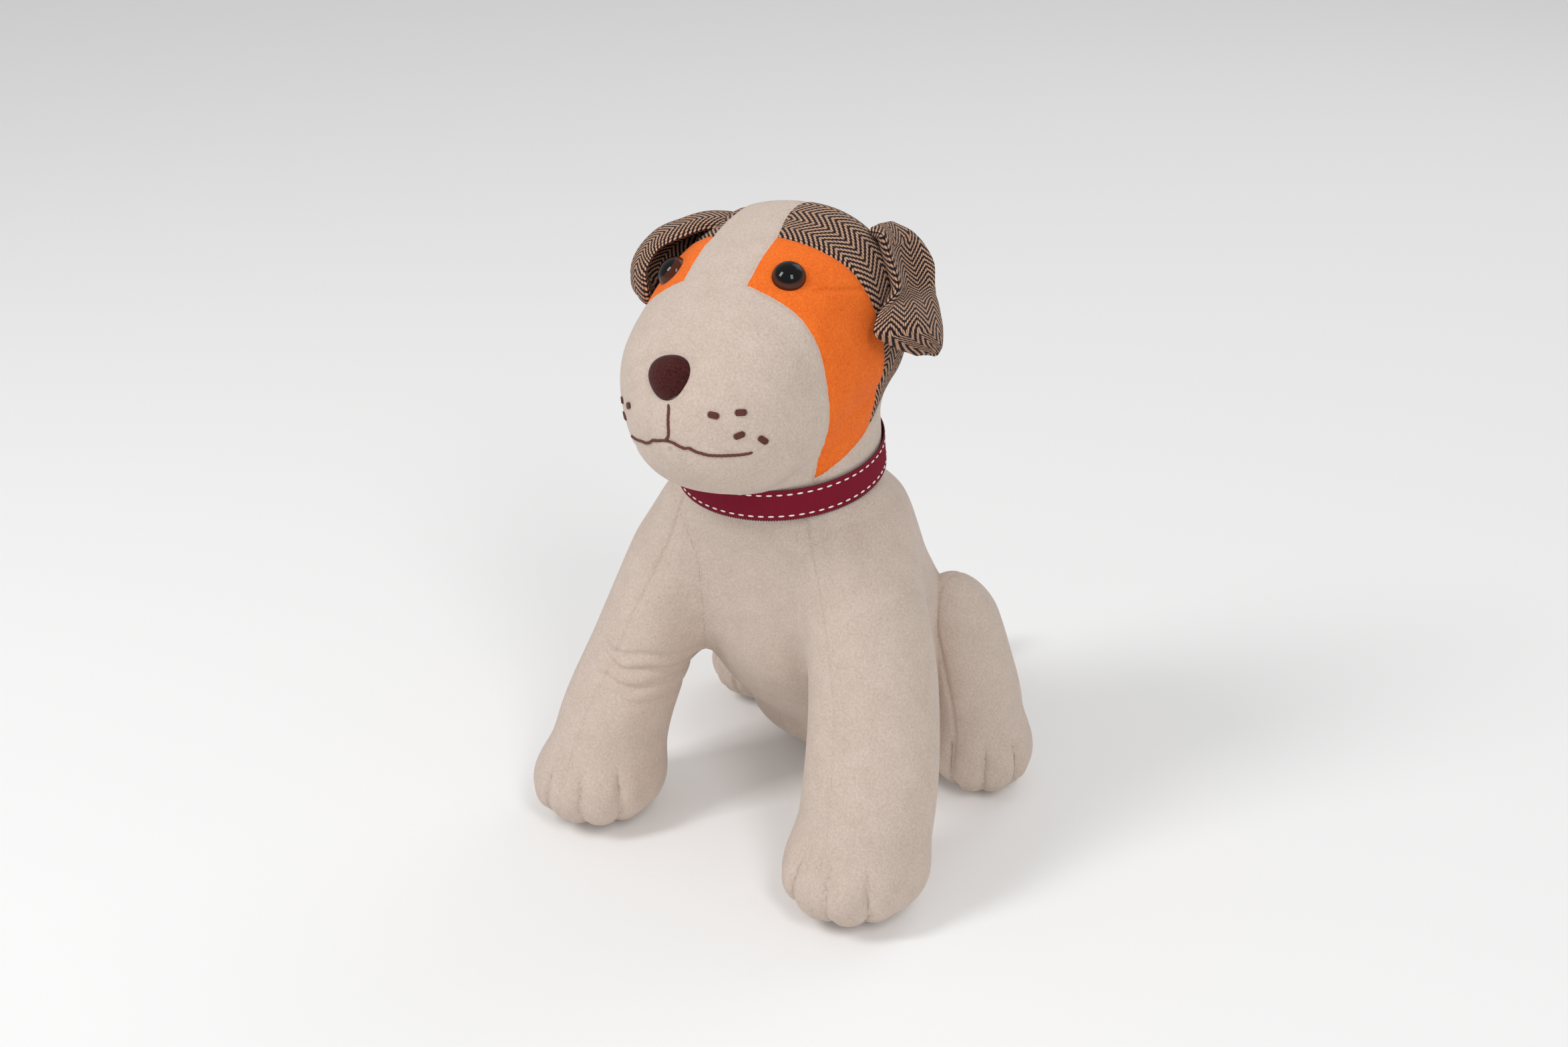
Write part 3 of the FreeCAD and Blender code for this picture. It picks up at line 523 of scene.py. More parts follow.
# along the tail from its pivot: out, up, half sizes
TAIL_STATIONS = [(-10, 0, 0, 12, 12), (22, 0, 0, 11, 11), (48, 0, 2, 8.5, 8.5)]


def tail_part(points):
    """The tail, rising a little, with a seam along its top."""
    rise = math.radians(TAIL_RISE)
    local = points - TAIL
    along = local[..., 1] * math.cos(rise) + local[..., 2] * math.sin(rise)
    across = -local[..., 1] * math.sin(rise) + local[..., 2] * math.cos(rise)
    form = tube(along, local[..., 0], across, TAIL_STATIONS, (-10, 48), (8, 9))
    return form + groove(local[..., 0], 1.3, 0.6)


# ---- the head's panels

# seams in the head's frame, some as one coordinate against another
MUZZLE_EDGE = -34.5
CHIN_LINE = [(-95, -13), (-88, -14), (-84, -19), (-78, -24), (-33, -57), (0, -75)]
PATCH_EDGE = [(-60, -10), (-51, -3), (-20, 10), (16, 7), (32, 4.6), (43, 0.4), (56, -6)]
BLAZE_RIGHT = [(-60, -15), (-35, -17), (-8, -19), (18, -22.5), (50, -22)]
BLAZE_LEFT = [(-60, 20), (-32, 19.5), (-8, 18.3), (18, 11.7), (50, 9)]
BLAZE_END = 40
BLAZE_LOW = 5
JAW_HEIGHT = -57
JAW_RISE = 0.35
CROWN_SEAM = 6
# a short dart across each eye patch, and the hollows round the eyes
DART_HEIGHT = 33
DART_SLOPE = 0.36
SOCKETS = [(-31.0, -30.0, 40.0), (31.0, -30.0, 40.0)]
SOCKET_DEPTH = 1.6
SOCKET_WIDTH = 14


def muzzle_seam(q):
    """Positive ahead of the seam round the muzzle."""
    return MUZZLE_EDGE - q[..., 1] + 0.9 * np.sin(q[..., 2] * 0.09)


def blaze_seam(q):
    """Positive within the stripe between the eyes."""
    (left,) = profile(q[..., 1], BLAZE_LEFT)
    (right,) = profile(q[..., 1], BLAZE_RIGHT)
    across = np.minimum(left - q[..., 0], q[..., 0] - right)
    return np.minimum(across, np.minimum(q[..., 2] - BLAZE_LOW, BLAZE_END - q[..., 1]))


def chin_seam(q):
    """Positive below the seam from the mouth back to the patches."""
    (line,) = profile(q[..., 1], CHIN_LINE)
    return line - q[..., 2]


def jaw_seam(q):
    """Positive in the strip below the patches and the crown."""
    return JAW_HEIGHT + JAW_RISE * (q[..., 1] + 33) - q[..., 2]


def patch_seam(q):
    """Positive behind the eye patches."""
    (line,) = profile(q[..., 2], PATCH_EDGE)
    return q[..., 1] - line


def middle_seam(q):
    """Positive on the left of the seam between the crown's two sides."""
    return q[..., 0] + CROWN_SEAM


def head_labels(points):
    """Which panel each point of the head belongs to, by its number in build_head."""
    q = to_head(points)
    label = np.where(middle_seam(q) > 0, 4, 5)
    patch = patch_seam(q) < 0
    label = np.where(patch & (q[..., 0] > 0), 2, label)
    label = np.where(patch & (q[..., 0] <= 0), 3, label)
    label = np.where(jaw_seam(q) > 0, 1, label)
    label = np.where(blaze_seam(q) > 0, 0, label)
    ahead = muzzle_seam(q) > 0
    return np.where(ahead, np.where(chin_seam(q) > 0, 1, 0), label)


def head_detail(q):
    """Seams and soft hollows drawn into the head's surface."""
    behind = within(-muzzle_seam(q), 0, 200, 1.2)
    ahead = 1 - behind
    beside_blaze = within(-blaze_seam(q), 0, 300, 1.0)
    free = behind * beside_blaze
    drawn = groove(muzzle_seam(q), 1.5, 0.9) * beside_blaze
    drawn += groove(blaze_seam(q), 1.4, 0.8) * behind
    drawn += groove(chin_seam(q), 1.5, 0.6) * ahead
    drawn += groove(jaw_seam(q), 1.5, 0.8) * free
    drawn += groove(patch_seam(q), 1.5, 0.9) * free * within(-jaw_seam(q), 0, 300, 1.0)
    drawn += groove(middle_seam(q), 1.4, 0.7) * within(q[..., 1], BLAZE_END, 300, 1.0)
    dart = q[..., 2] - DART_HEIGHT + DART_SLOPE * (q[..., 1] + 22)
    beside = within(np.abs(q[..., 0]), 40, 90, 0.8) * within(-patch_seam(q), 0, 25, 1)
    drawn += groove(dart, 1.3, 0.8) * beside
    for socket in SOCKETS:
        apart = ((q - np.array(socket)) ** 2).sum(-1)
        drawn += SOCKET_DEPTH * np.exp(-apart / SOCKET_WIDTH ** 2)
    return drawn


def whole_head(points):
    """The surface of the head and neck with all its detail."""
    q = to_head(points)
    return melt(head_field(q), neck_field(points), NECK_MELT) + head_detail(q)


# ---- ears

# each row of an ear from its root to its tip, in the head's frame: front edge, back edge, bow
EAR_ROWS = {
    1: [((46, 29, 42), (40, 53, 36), 2), ((54, 27, 42), (52, 57, 30), -5),
        ((60, 23, 31), (61, 55, 18), -9), ((66, 15, 19), (65, 47, 8), -8),
        ((64, -1, 14), (69, 40, 1), 3), ((64, -7, 7), (72, 34, -9), 8),
        ((69, 0, -3), (75, 27, -15), 3), ((74, 9, -11), (76, 20, -16), 1)],
    -1: [((-23, 11, 49), (-34, 40, 42), 3), ((-30, -1, 52), (-43, 31, 40), 7),
         ((-37, -10, 51), (-48, 24, 34), 11), ((-43, -16, 49), (-52, 17, 28), 14),
         ((-47, -21, 44), (-55, 8, 22), 15), ((-49, -24, 38), (-55, 1, 18), 13),
         ((-50, -24, 30), (-54, -9, 18), 8), ((-51, -23, 24), (-54, -17, 18), 2)],
}
EAR_HALF_THICK = 2.6
EAR_ROW_COUNT = 64
EAR_COLUMN_COUNT = 30
# how wide the thin edge is at the ear's sides, tip and root, as a share of its size
EAR_SEAM = 0.16
TIP_SEAM = EAR_SEAM * 0.6
ROOT_SEAM = EAR_SEAM * 0.3
EDGE_HALF_THICK = 0.12


def smooth_rows(table, count):
    """A table's rows resampled along smooth curves."""
    table = np.array(table, float)
    t = np.linspace(0, len(table) - 1, count)
    stations = np.column_stack([np.arange(len(table)), table])
    return np.stack(profile(t, stations), -1)


def ear_sheet(side):
    """Middle surface of an ear in the head's frame, as a grid of points."""
    flat = [list(front) + list(back) + [bow] for front, back, bow in EAR_ROWS[side]]
    table = smooth_rows(flat, EAR_ROW_COUNT)
    v = np.linspace(0, 1, EAR_COLUMN_COUNT)[None, :, None]
    front, back, bow = table[:, None, 0:3], table[:, None, 3:6], table[:, None, 6:7]
    across = unit(back - front)
    along = unit(np.gradient(table[:, 0:3] + table[:, 3:6], axis=0))[:, None, :]
    facing = unit(np.cross(along, across))
    return front + (back - front) * v + facing * side * bow * 4 * v * (1 - v)


def padded_grid(grid):
    """The two faces of a pillow round a grid of points, drawn together at its edges."""
    rows, columns = grid.shape[:2]
    normal = unit(np.cross(np.gradient(grid, axis=0), np.gradient(grid, axis=1)))
    u = np.linspace(0, 1, rows)[:, None]
    v = np.linspace(0, 1, columns)[None, :]
    ends = np.minimum((1 - u) / TIP_SEAM, u / ROOT_SEAM)
    edge = np.minimum(np.minimum(v, 1 - v) / EAR_SEAM, ends)
    thick = EAR_HALF_THICK * np.sqrt(1 - (1 - np.clip(edge, 0, 1)) ** 2) + EDGE_HALF_THICK
    return grid + normal * thick[..., None], grid - normal * thick[..., None]


def grid_object(name, grid, flip=False, close=False):
    """A sheet of quads through a grid of points; close joins its last column to its first."""
    rows, columns = grid.shape[:2]
    number = np.arange(rows * columns).reshape(rows, columns)
    faces = []
    for i in range(rows - 1):
        for j in range(columns - 1 + close):
            k = (j + 1) % columns
            quad = [number[i, j], number[i, k], number[i + 1, k], number[i + 1, j]]
            faces.append(quad[::-1] if flip else quad)
    return mesh_object(name, grid.reshape(-1, 3), faces)


def join(things, name):
    """Several objects joined into one."""
    edit = bmesh.new()
    for thing in things:
        edit.from_mesh(thing.data)
        bpy.data.objects.remove(thing)
    mesh = bpy.data.meshes.new(name)
    edit.to_mesh(mesh)
    edit.free()
    mesh.polygons.foreach_set("use_smooth", [True] * len(mesh.polygons))
    whole = bpy.data.objects.new(name, mesh)
    bpy.context.scene.collection.objects.link(whole)
    return whole


# ---- UV maps in millimetres of cloth


def lay_uv(thing, uv):
    """Give an object a UV map from one pair of cloth coordinates for each vertex."""
    layer = thing.data.uv_layers.new(name="cloth")
    loops = np.empty(len(thing.data.loops), int)
    thing.data.loops.foreach_get("vertex_index", loops)
    layer.data.foreach_set("uv", uv[loops].astype(np.float32).ravel())


CROWN_RADIUS = 54.0
# direction of the middle of the crown's left side, in the head's frame
CROWN_MIDDLE = (0.7, 0.35, 0.6)


def crown_uv(points, side):
    """Cloth laid flat over one side of the crown, its columns running down the head."""
    middle = unit(np.array(CROWN_MIDDLE) * [side, 1, 1])
    back = unit(np.array([0.0, 1.0, 0.0]) - middle[1] * middle)
    down = np.cross(middle, back)
    q = unit(to_head(points))
    angle = np.arccos(np.clip(q @ middle, -1, 1))
    flat = unit(np.stack([q @ back, q @ down], -1))
    return flat * angle[:, None] * CROWN_RADIUS


def sheet_uv(grid):
    """Cloth coordinates of a grid: distance across, then distance along."""
    across = np.cumsum(np.linalg.norm(np.diff(grid, axis=1, prepend=grid[:, :1]), axis=-1), axis=1)
    along = np.cumsum(np.linalg.norm(np.diff(grid, axis=0, prepend=grid[:1]), axis=-1), axis=0)
    middle = along[:, along.shape[1] // 2][:, None]
    return np.stack([across, np.broadcast_to(middle, across.shape)], -1).reshape(-1, 2)


# ---- materials


def linear(red, green, blue):
    """A colour given in 8-bit sRGB, as linear values."""
    values = np.array([red, green, blue]) / 255
    values = np.where(values <= 0.04045, values / 12.92, ((values + 0.055) / 1.055) ** 2.4)
    return (*values.tolist(), 1.0)


class Shader:
    """A node material, with its arithmetic written as calls."""

    def __init__(self, name):
        self.material = bpy.data.materials.new(name)
        self.material.use_nodes = True
        self.tree = self.material.node_tree
        self.surface = self.tree.nodes["Principled BSDF"]

    def plug(self, value, socket):
        if isinstance(value, bpy.types.NodeSocket):
            self.tree.links.new(value, socket)
        else:
            socket.default_value = value

    def math(self, operation, *values):
        node = self.tree.nodes.new("ShaderNodeMath")
        node.operation = operation
        for value, socket in zip(values, node.inputs):
            self.plug(value, socket)
        return node.outputs[0]

    def clamp(self, value):
        """A value held between 0 and 1."""
        return self.math("MINIMUM", self.math("MAXIMUM", value, 0.0), 1.0)

    def vector_math(self, operation, first, second=None):
        node = self.tree.nodes.new("ShaderNodeVectorMath")
        node.operation = operation
        self.plug(first, node.inputs[0])
        if second is not None:
            self.plug(second, node.inputs[1])
        return node.outputs

    def coordinate(self, kind):
        return self.tree.nodes.new("ShaderNodeTexCoord").outputs[kind]

    def split(self, vector):
        node = self.tree.nodes.new("ShaderNodeSeparateXYZ")
        self.plug(vector, node.inputs[0])
        return node.outputs

    def noise(self, scale, detail=2.0):
        node = self.tree.nodes.new("ShaderNodeTexNoise")
        node.inputs["Scale"].default_value = scale
        node.inputs["Detail"].default_value = detail
        self.plug(self.coordinate("Object"), node.inputs["Vector"])
        return node.outputs["Fac"]

    def mix(self, share, low, high):
        node = self.tree.nodes.new("ShaderNodeMix")
        node.data_type = "RGBA"
        self.plug(share, node.inputs["Factor"])
        self.plug(low, node.inputs[6])
        self.plug(high, node.inputs[7])
        return node.outputs[2]

    def bump(self, height, strength, distance):
        node = self.tree.nodes.new("ShaderNodeBump")
        node.inputs["Strength"].default_value = strength
        node.inputs["Distance"].default_value = distance
        self.plug(height, node.inputs["Height"])
        self.plug(node.outputs[0], self.surface.inputs["Normal"])

    def give(self, **values):
        for name, value in values.items():
            self.plug(value, self.surface.inputs[name.replace("_", " ")])
        return self.material


def plush(name, colour, shade, sheen):
    """Short-pile plush: fine fibres, faintly mottled, with a soft bloom at its edges."""
    s = Shader(name)
    fibre = s.noise(900, 4.0)
    patchy = s.math("MULTIPLY_ADD", s.noise(90, 1.0), 0.5, -0.25)
    share = s.math("ADD", s.math("MULTIPLY_ADD", fibre, 1.8, -0.4), patchy)
    s.bump(fibre, 0.55, 0.0006)
    base = s.mix(s.clamp(share), linear(*shade), linear(*colour))
    s.give(Base_Color=base, Roughness=0.92, Sheen_Weight=sheen, Sheen_Roughness=0.45)
    return s.give(Specular_IOR_Level=0.12)


# millimetres of cloth
COLUMN_WIDTH = 7.0
FLOAT_HALF_PITCH = 1.4
YARN_HALF_PITCH = 0.58
TWEED_DARK = (38, 24, 29)
TWEED_TAN = (206, 164, 134)


def herringbone(name):
    """Woven tweed: slanted tan floats on a dark ground, their slant turning over at each column."""
    s = Shader(name)
    u, v, _ = s.split(s.coordinate("UV"))
    turn = s.math("PINGPONG", s.math("DIVIDE", u, COLUMN_WIDTH), 1.0)
    slanted = s.math("MULTIPLY_ADD", turn, COLUMN_WIDTH, v)
    stripe = s.math("PINGPONG", s.math("DIVIDE", slanted, FLOAT_HALF_PITCH), 1.0)
    yarn = s.math("PINGPONG", s.math("DIVIDE", u, YARN_HALF_PITCH), 1.0)
    rounded = s.math("SMOOTH_MIN", s.math("MULTIPLY", stripe, 1.5), 1.0, 0.2)
    height = s.math("MULTIPLY", rounded, s.math("MULTIPLY_ADD", yarn, 0.45, 0.55))
    uneven = s.math("ADD", height, s.math("MULTIPLY", s.noise(1100), 0.3))
    tan = s.clamp(s.math("MULTIPLY_ADD", uneven, 4.2, -2.8))
    s.bump(height, 0.7, 0.0007)
    base = s.mix(tan, linear(*TWEED_DARK), linear(*TWEED_TAN))
    return s.give(Base_Color=base, Roughness=0.85, Sheen_Weight=0.1, Specular_IOR_Level=0.15)


def plain(name, colour, roughness, **more):
    """One even colour."""
    s = Shader(name)
    return s.give(Base_Color=linear(*colour), Roughness=roughness, **more)


def eye_material(word, centre, facing):
    """Glossy eye: a black pupil in a brown ring, by the distance from the eye's axis."""
    s = Shader("eye_plastic_" + word)
    away = s.vector_math("SUBTRACT", s.coordinate("Object"), (centre * MM).tolist())[0]
    across = s.vector_math("CROSS_PRODUCT", away, facing.tolist())[0]
    distance = s.vector_math("LENGTH", across)["Value"]
    ring = s.clamp(s.math("MULTIPLY_ADD", distance, RING_SHARPNESS, -RING_SHARPNESS * PUPIL_RADIUS))
    base = s.mix(ring, linear(*PUPIL), linear(*IRIS))
    return s.give(Base_Color=base, Roughness=0.05, Specular_IOR_Level=0.3)


# metres, and how fast the brown ring comes in
PUPIL_RADIUS = 0.006
RING_SHARPNESS = 1900.0
PUPIL = (5, 4, 5)
IRIS = (74, 34, 16)

CREAM = plush("cream_plush", (216, 199, 187), (192, 174, 160), 0.15)
ORANGE = plush("orange_plush", (252, 128, 48), (226, 98, 32), 0.05)
TWEED = herringbone("herringbone_tweed")
NOSE_FLOCK = plush("nose_flock", (86, 40, 38), (44, 16, 16), 0.12)
BROWN = plain("brown_thread", (94, 42, 34), 0.6)
WHITE = plain("white_thread", (246, 240, 232), 0.6)
RIBBON = plain("collar_ribbon", (124, 22, 44), 0.7, Specular_IOR_Level=0.1)
RIBBON_DARK = plain("collar_ribbon_edge", (92, 16, 36), 0.6)
WASHER = plain("washer_plastic", (230, 228, 222), 0.4)


# cell sizes of the nets (mm)
TRUNK_CELL = 3.2
LEG_CELL = 2.8
HEAD_CELL = 2.8
TAIL_CELL = 2.4


def finish_piece(thing, material, slot, body, *nodes):
    """Give a piece its finish, its body and the CAD nodes that it stands for."""
    thing.data.materials.clear()
    thing.data.materials.append(material)
    if body:
        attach(thing, body)
    if nodes:
        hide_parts(*nodes)


def smooth_normals(thing, field):
    """Shade a piece from the whole form's slope, so that separate panels meet without a step."""
    normals = unit(gradient(places(thing), field, 0.25))
    thing.data.normals_split_custom_set_from_vertices(normals.tolist())


def skin(name, field, low, high, cell, cuts):
    """One closed form as a mesh, cut exactly along its seams."""
    vertices, quads = net(field, low, high, cell)
    thing = mesh_object(name, settle(vertices, field, 3), quads)
    refine(thing)
    put(thing, settle(places(thing), field, 2))
    slice_mesh(thing, cuts)
    return thing


# ---- body


def pattern_cut(scalar):
    """A seam given from the pattern's origin, for points in the row frame."""
    return lambda points: scalar(in_pattern(points))


def head_cut(scalar):
    """A seam given in the head's frame, for points in the row frame."""
    return lambda points: scalar(to_head(points))


def near_middle(q):
    """Zero close to the head's middle plane."""
    return q[..., 0] + 0.4


# how far back the chest panel reaches
CHEST_BACK = 12


def trunk_labels(points):
    """Chest, left side or right side, for each point of the trunk."""
    p = in_pattern(points)
    chest = (seam_out(p) < 0) & (p[:, 1] < CHEST_BACK)
    return np.where(chest, 0, np.where(p[:, 0] > 0, 1, 2))


def build_trunk():
    """Chest and side skins, with the seam down the back."""
    low, high = PATTERN + [-84, -96, -4], PATTERN + [84, 142, 232]
    cuts = [pattern_cut(seam_out), pattern_cut(lambda p: p[..., 0])]
    trunk = skin("trunk", trunk_part, low, high, TRUNK_CELL, cuts)
    pieces = split_by(trunk, trunk_labels, ["chest_skin", "side_skin_left", "side_skin_right"])
    covered = {
        "chest_skin": ["chest_panel", "base_panel", "body_stuffing", "weight_pouch"],
        "side_skin_left": ["side_panel_left"],
        "side_skin_right": ["side_panel_right"],
    }
    for name, thing in pieces.items():
        smooth_normals(thing, whole_body)
        finish_piece(thing, CREAM, "cream_plush", "torso", *covered[name])


def build_front_leg(side, word):
    """Inner and outer skin of a front leg."""
    low = PATTERN + ([0, -112, -4] if side > 0 else [-116, -112, -4])
    high = PATTERN + ([116, 24, 212] if side > 0 else [0, 24, 212])
    leg = skin("front_leg", leg_part(side), low, high, LEG_CELL, [pattern_cut(seam_out)])
    names = ["front_leg_%s_skin_inner" % word, "front_leg_%s_skin_outer" % word]
    pieces = split_by(leg, lambda c: (seam_out(in_pattern(c)) > 0).astype(int), names)
    body = "front_leg_" + word
    for name, half in zip(names, ("inner", "outer")):
        thing = pieces[name]
        smooth_normals(thing, whole_body)
        nodes = ["%s_%s_panel" % (body, half)]
        if half == "outer":
            nodes += [body + "_sole", body + "_stuffing", body + "_toe_stitches"]
        finish_piece(thing, CREAM, "cream_plush", None, *nodes)
        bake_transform(thing)


def build_hind_leg(side, word):
    """The whole skin of a hind leg."""
    field = hind_leg_part(side)
    low = PATTERN + ([46, 28, -4] if side > 0 else [-112, 28, -4])
    high = PATTERN + ([112, 112, 130] if side > 0 else [-46, 112, 130])
    leg = skin("hind_leg_%s_skin" % word, field, low, high, LEG_CELL, [])
    smooth_normals(leg, field)
    body = "hind_leg_" + word
    parts = ["outer_panel", "inner_panel", "sole", "stuffing", "toe_stitches"]
    finish_piece(leg, CREAM, "cream_plush", body, *[body + "_" + part for part in parts])


def build_tail():
    """The tail's skin."""
    tail = skin("tail_skin", tail_part, TAIL - [16, 20, 20], TAIL + [16, 70, 60], TAIL_CELL, [])
    smooth_normals(tail, tail_part)
    finish_piece(tail, CREAM, "cream_plush", "tail", "tail_cover", "tail_stuffing")


def build_head():
    """The six panels of the head, with the neck's skin below the jaw."""
    seams = (muzzle_seam, blaze_seam, chin_seam, jaw_seam, patch_seam, middle_seam, near_middle)
    low, high = HEAD_MIDDLE - [72, 106, 72], HEAD_MIDDLE + [72, 72, 72]
    head = skin("head", whole_head, low, high, HEAD_CELL, [head_cut(seam) for seam in seams])
    looks = {
        "muzzle_skin": (CREAM, "cream_plush", ["muzzle_panel", "head_stuffing"]),
        "chin_skin": (CREAM, "cream_plush", ["chin_panel", "neck_stuffing"]),
        "eye_patch_skin_left": (ORANGE, "orange_plush", ["eye_patch_left"]),
        "eye_patch_skin_right": (ORANGE, "orange_plush", ["eye_patch_right"]),
        "crown_skin_left": (TWEED, "herringbone_tweed", ["crown_panel_left"]),
        "crown_skin_right": (TWEED, "herringbone_tweed", ["crown_panel_right"]),
    }
    for name, thing in split_by(head, head_labels, list(looks)).items():
        if name.startswith("crown"):
            lay_uv(thing, crown_uv(places(thing), 1 if name.endswith("left") else -1))
        smooth_normals(thing, whole_head)
        material, slot, nodes = looks[name]
        finish_piece(thing, material, slot, "head", *nodes)


def build_ear(side, word):
    """The two cloth layers of an ear."""
    grid = ear_sheet(side)
    front, back = padded_grid(grid)
    for name, half in (("inner", front), ("outer", back)):
        thing = grid_object("ear_%s_%s_skin" % (word, name), from_head(half), flip=name == "outer")
        lay_uv(thing, sheet_uv(grid))
        node = "ear_%s_%s_panel" % (word, name)
        finish_piece(thing, TWEED, "herringbone_tweed", "ear_" + word, node)


# ---- collar


def lozenges(name, centres, axes, sides, sizes):
    """Small ellipsoids in one mesh, each with a long axis, a side direction and three half sizes."""
    rings, parts = 5, 8
    theta = np.linspace(0, math.pi, rings + 1)
    phi = np.linspace(0, 2 * math.pi, parts, endpoint=False)
    shape = np.array([(math.cos(t), math.sin(t) * math.cos(f), math.sin(t) * math.sin(f))
                      for t in theta for f in phi])
    vertices, faces = [], []
    for centre, axis, side, size in zip(centres, axes, sides, sizes):
        axis = unit(np.asarray(axis, float))
        up = unit(np.cross(axis, side))
        side = np.cross(up, axis)
        start = len(vertices) * len(shape)
        vertices.append(centre + (shape * np.array(size)) @ np.stack([axis, side, up]))
        for i in range(rings):
            for j in range(parts):
                k = (j + 1) % parts
                a, b = start + i * parts, start + (i + 1) * parts
                if i == 0:
                    faces.append([b + j, b + k, a + j])
                elif i == rings - 1:
                    faces.append([b + j, a + k, a + j])
                else:
                    faces.append([b + j, b + k, a + k, a + j])
    return mesh_object(name, np.concatenate(vertices), faces)


COLLAR_RADIUS = 51.2
COLLAR_WIDE = 16.0
COLLAR_TOP = -1.2
RIB_COUNT = 260
RIB_HEIGHT = 0.22
# heights below the ribbon's top edge between which its cross ribs stand out
RIBBED = (0.5, 1.6, COLLAR_WIDE / 2, COLLAR_WIDE - 1.6, COLLAR_WIDE - 0.5)
# white stitches: distance from the edge, half sizes of one, and lift off the ribbon
STITCH_INSET = 2.2
STITCH_COUNT = 66
STITCH_SIZE = (1.5, 0.3, 0.5)
STITCH_LIFT = 0.35
# loops of the woven edge
LOOP_OUT = 0.15
LOOP_COUNT = 250
LOOP_SIZE = (0.55, 0.35, 0.4)
# the lapped end, and how far its underside lies off the ribbon
LAP_HALF_ANGLE = 0.2
LAP_INSIDE = 0.25
# height below the collar's top edge and distance off its face, round the lap's section
LAP_OUTLINE = [(0.1, LAP_INSIDE), (0.1, 1.0), (1.2, 1.15), (8.0, 1.15),
               (14.8, 1.15), (15.9, 1.0), (15.9, LAP_INSIDE)]


def collar_point(angle, height, out=0.0):
    """Point on the collar: angle from the front, height below its top edge, distance off its face."""
    axis = unit(NECK_AXIS)
    side = np.array([1.0, 0.0, 0.0])
    back = np.cross(axis, side)
    angle, height, reach = np.broadcast_arrays(angle, height, COLLAR_RADIUS + np.asarray(out))
    outward = np.sin(angle)[..., None] * side - np.cos(angle)[..., None] * back
    return NECK + reach[..., None] * outward + (COLLAR_TOP - height)[..., None] * axis


def round_collar(name, at, lift, count, size):
    """Threads laid end to end round the collar, at a height below its top edge."""
    around = np.linspace(0, 2 * math.pi, count, endpoint=False)
    centres = collar_point(around, at, lift)
    ahead = collar_point(around + 0.01, at, lift) - centres
    outward = collar_point(around, at, 2) - centres
    return lozenges(name, centres, ahead, outward, [size] * count)


def build_collar():
    """Ribbed ribbon, its two rows of white stitches, its woven edges and its lapped end."""
    angle = np.linspace(0, 2 * math.pi, RIB_COUNT * 6, endpoint=False)
    band = []
    for height in (0, *RIBBED, COLLAR_WIDE):
        line = collar_point(angle, height)
        ribs = (RIB_HEIGHT if height in RIBBED else 0) * np.abs(np.sin(angle * RIB_COUNT / 2))
        band.append(line + unit(line - NECK) * ribs[:, None])
    ribbon = grid_object("collar_ribbon_skin", np.array(band), flip=True, close=True)
    finish_piece(ribbon, RIBBON, "collar_ribbon", "torso", "collar_ribbon")
    for name, at in (("upper", STITCH_INSET), ("lower", COLLAR_WIDE - STITCH_INSET)):
        threads = round_collar("collar_stitch_" + name, at, STITCH_LIFT, STITCH_COUNT, STITCH_SIZE)
        finish_piece(threads, WHITE, "white_thread", "torso", "collar_stitching_" + name)
    edges = (-LOOP_OUT, COLLAR_WIDE + LOOP_OUT)
    edge = join([round_collar("edge", at, 0.0, LOOP_COUNT, LOOP_SIZE) for at in edges], "collar_edge")
    finish_piece(edge, RIBBON_DARK, "collar_ribbon", "torso")
    build_collar_lap()


def build_collar_lap():
    """The sewn-down end of the ribbon, lying over its start at the back of the neck."""
    angles = math.pi + np.linspace(-1, 1, 60) * LAP_HALF_ANGLE
    heights, outs = np.array(LAP_OUTLINE).T
    rows = [collar_point(angle, heights, outs) for angle in angles]
    first, last = (collar_point(angle, heights, LAP_INSIDE) for angle in (angles[0], angles[-1]))
    lap = grid_object("collar_lap", np.array([first, *rows, last]), close=True)
    finish_piece(lap, RIBBON, "collar_ribbon", "torso", "collar_overlap")


# ---- face


def onto_head(points):
    """Points moved onto the head's surface, with its normals."""
    points = settle(np.asarray(points, float), whole_head, 12)
    return points, unit(gradient(points, whole_head))


def front_points(pairs):
    """Places on the front of the head from (out, up) pairs in its frame."""
    return onto_head(from_head([(x, -84 + 0.006 * x * x, z) for x, z in pairs]))


# (out, up) on the muzzle; each freckle also has the angle that its threads lean at
PHILTRUM = [(1.8, 1.5), (1.6, -4), (1.0, -10.5), (-1.6, -13)]
MOUTH = [(-30, -18.5), (-22, -17.8), (-15, -16.4), (-7, -14), (-2, -13), (3, -14.2), (11, -17.5), (22, -21),
         (30, -22.8), (36, -23.5)]
FRECKLES = [(22.9, -2.6, 20), (34.9, -2.8, 10), (32.1, -13.3, -10), (41.8, -18.4, 50),
            (-27, -2.6, -20), (-38, -3, -10), (-36, -10.5, 10), (-45, -14, -50)]


# stitches of the mouth
STEM_PITCH = 2.0
STEM_LEAN = 0.16
STEM_SIZE = (1.9, 0.6, 0.75)
# threads of a freckle: half length of the middle one, half width of the spot in threads, spacing, sizes
FRECKLE_REACH = 3.1
FRECKLE_HALF = 3.4
FRECKLE_STEP = 0.6
FRECKLE_THREAD = (0.5, 0.42)
# how far the middle of a thread lies off the cloth
THREAD_LIFT = 0.25


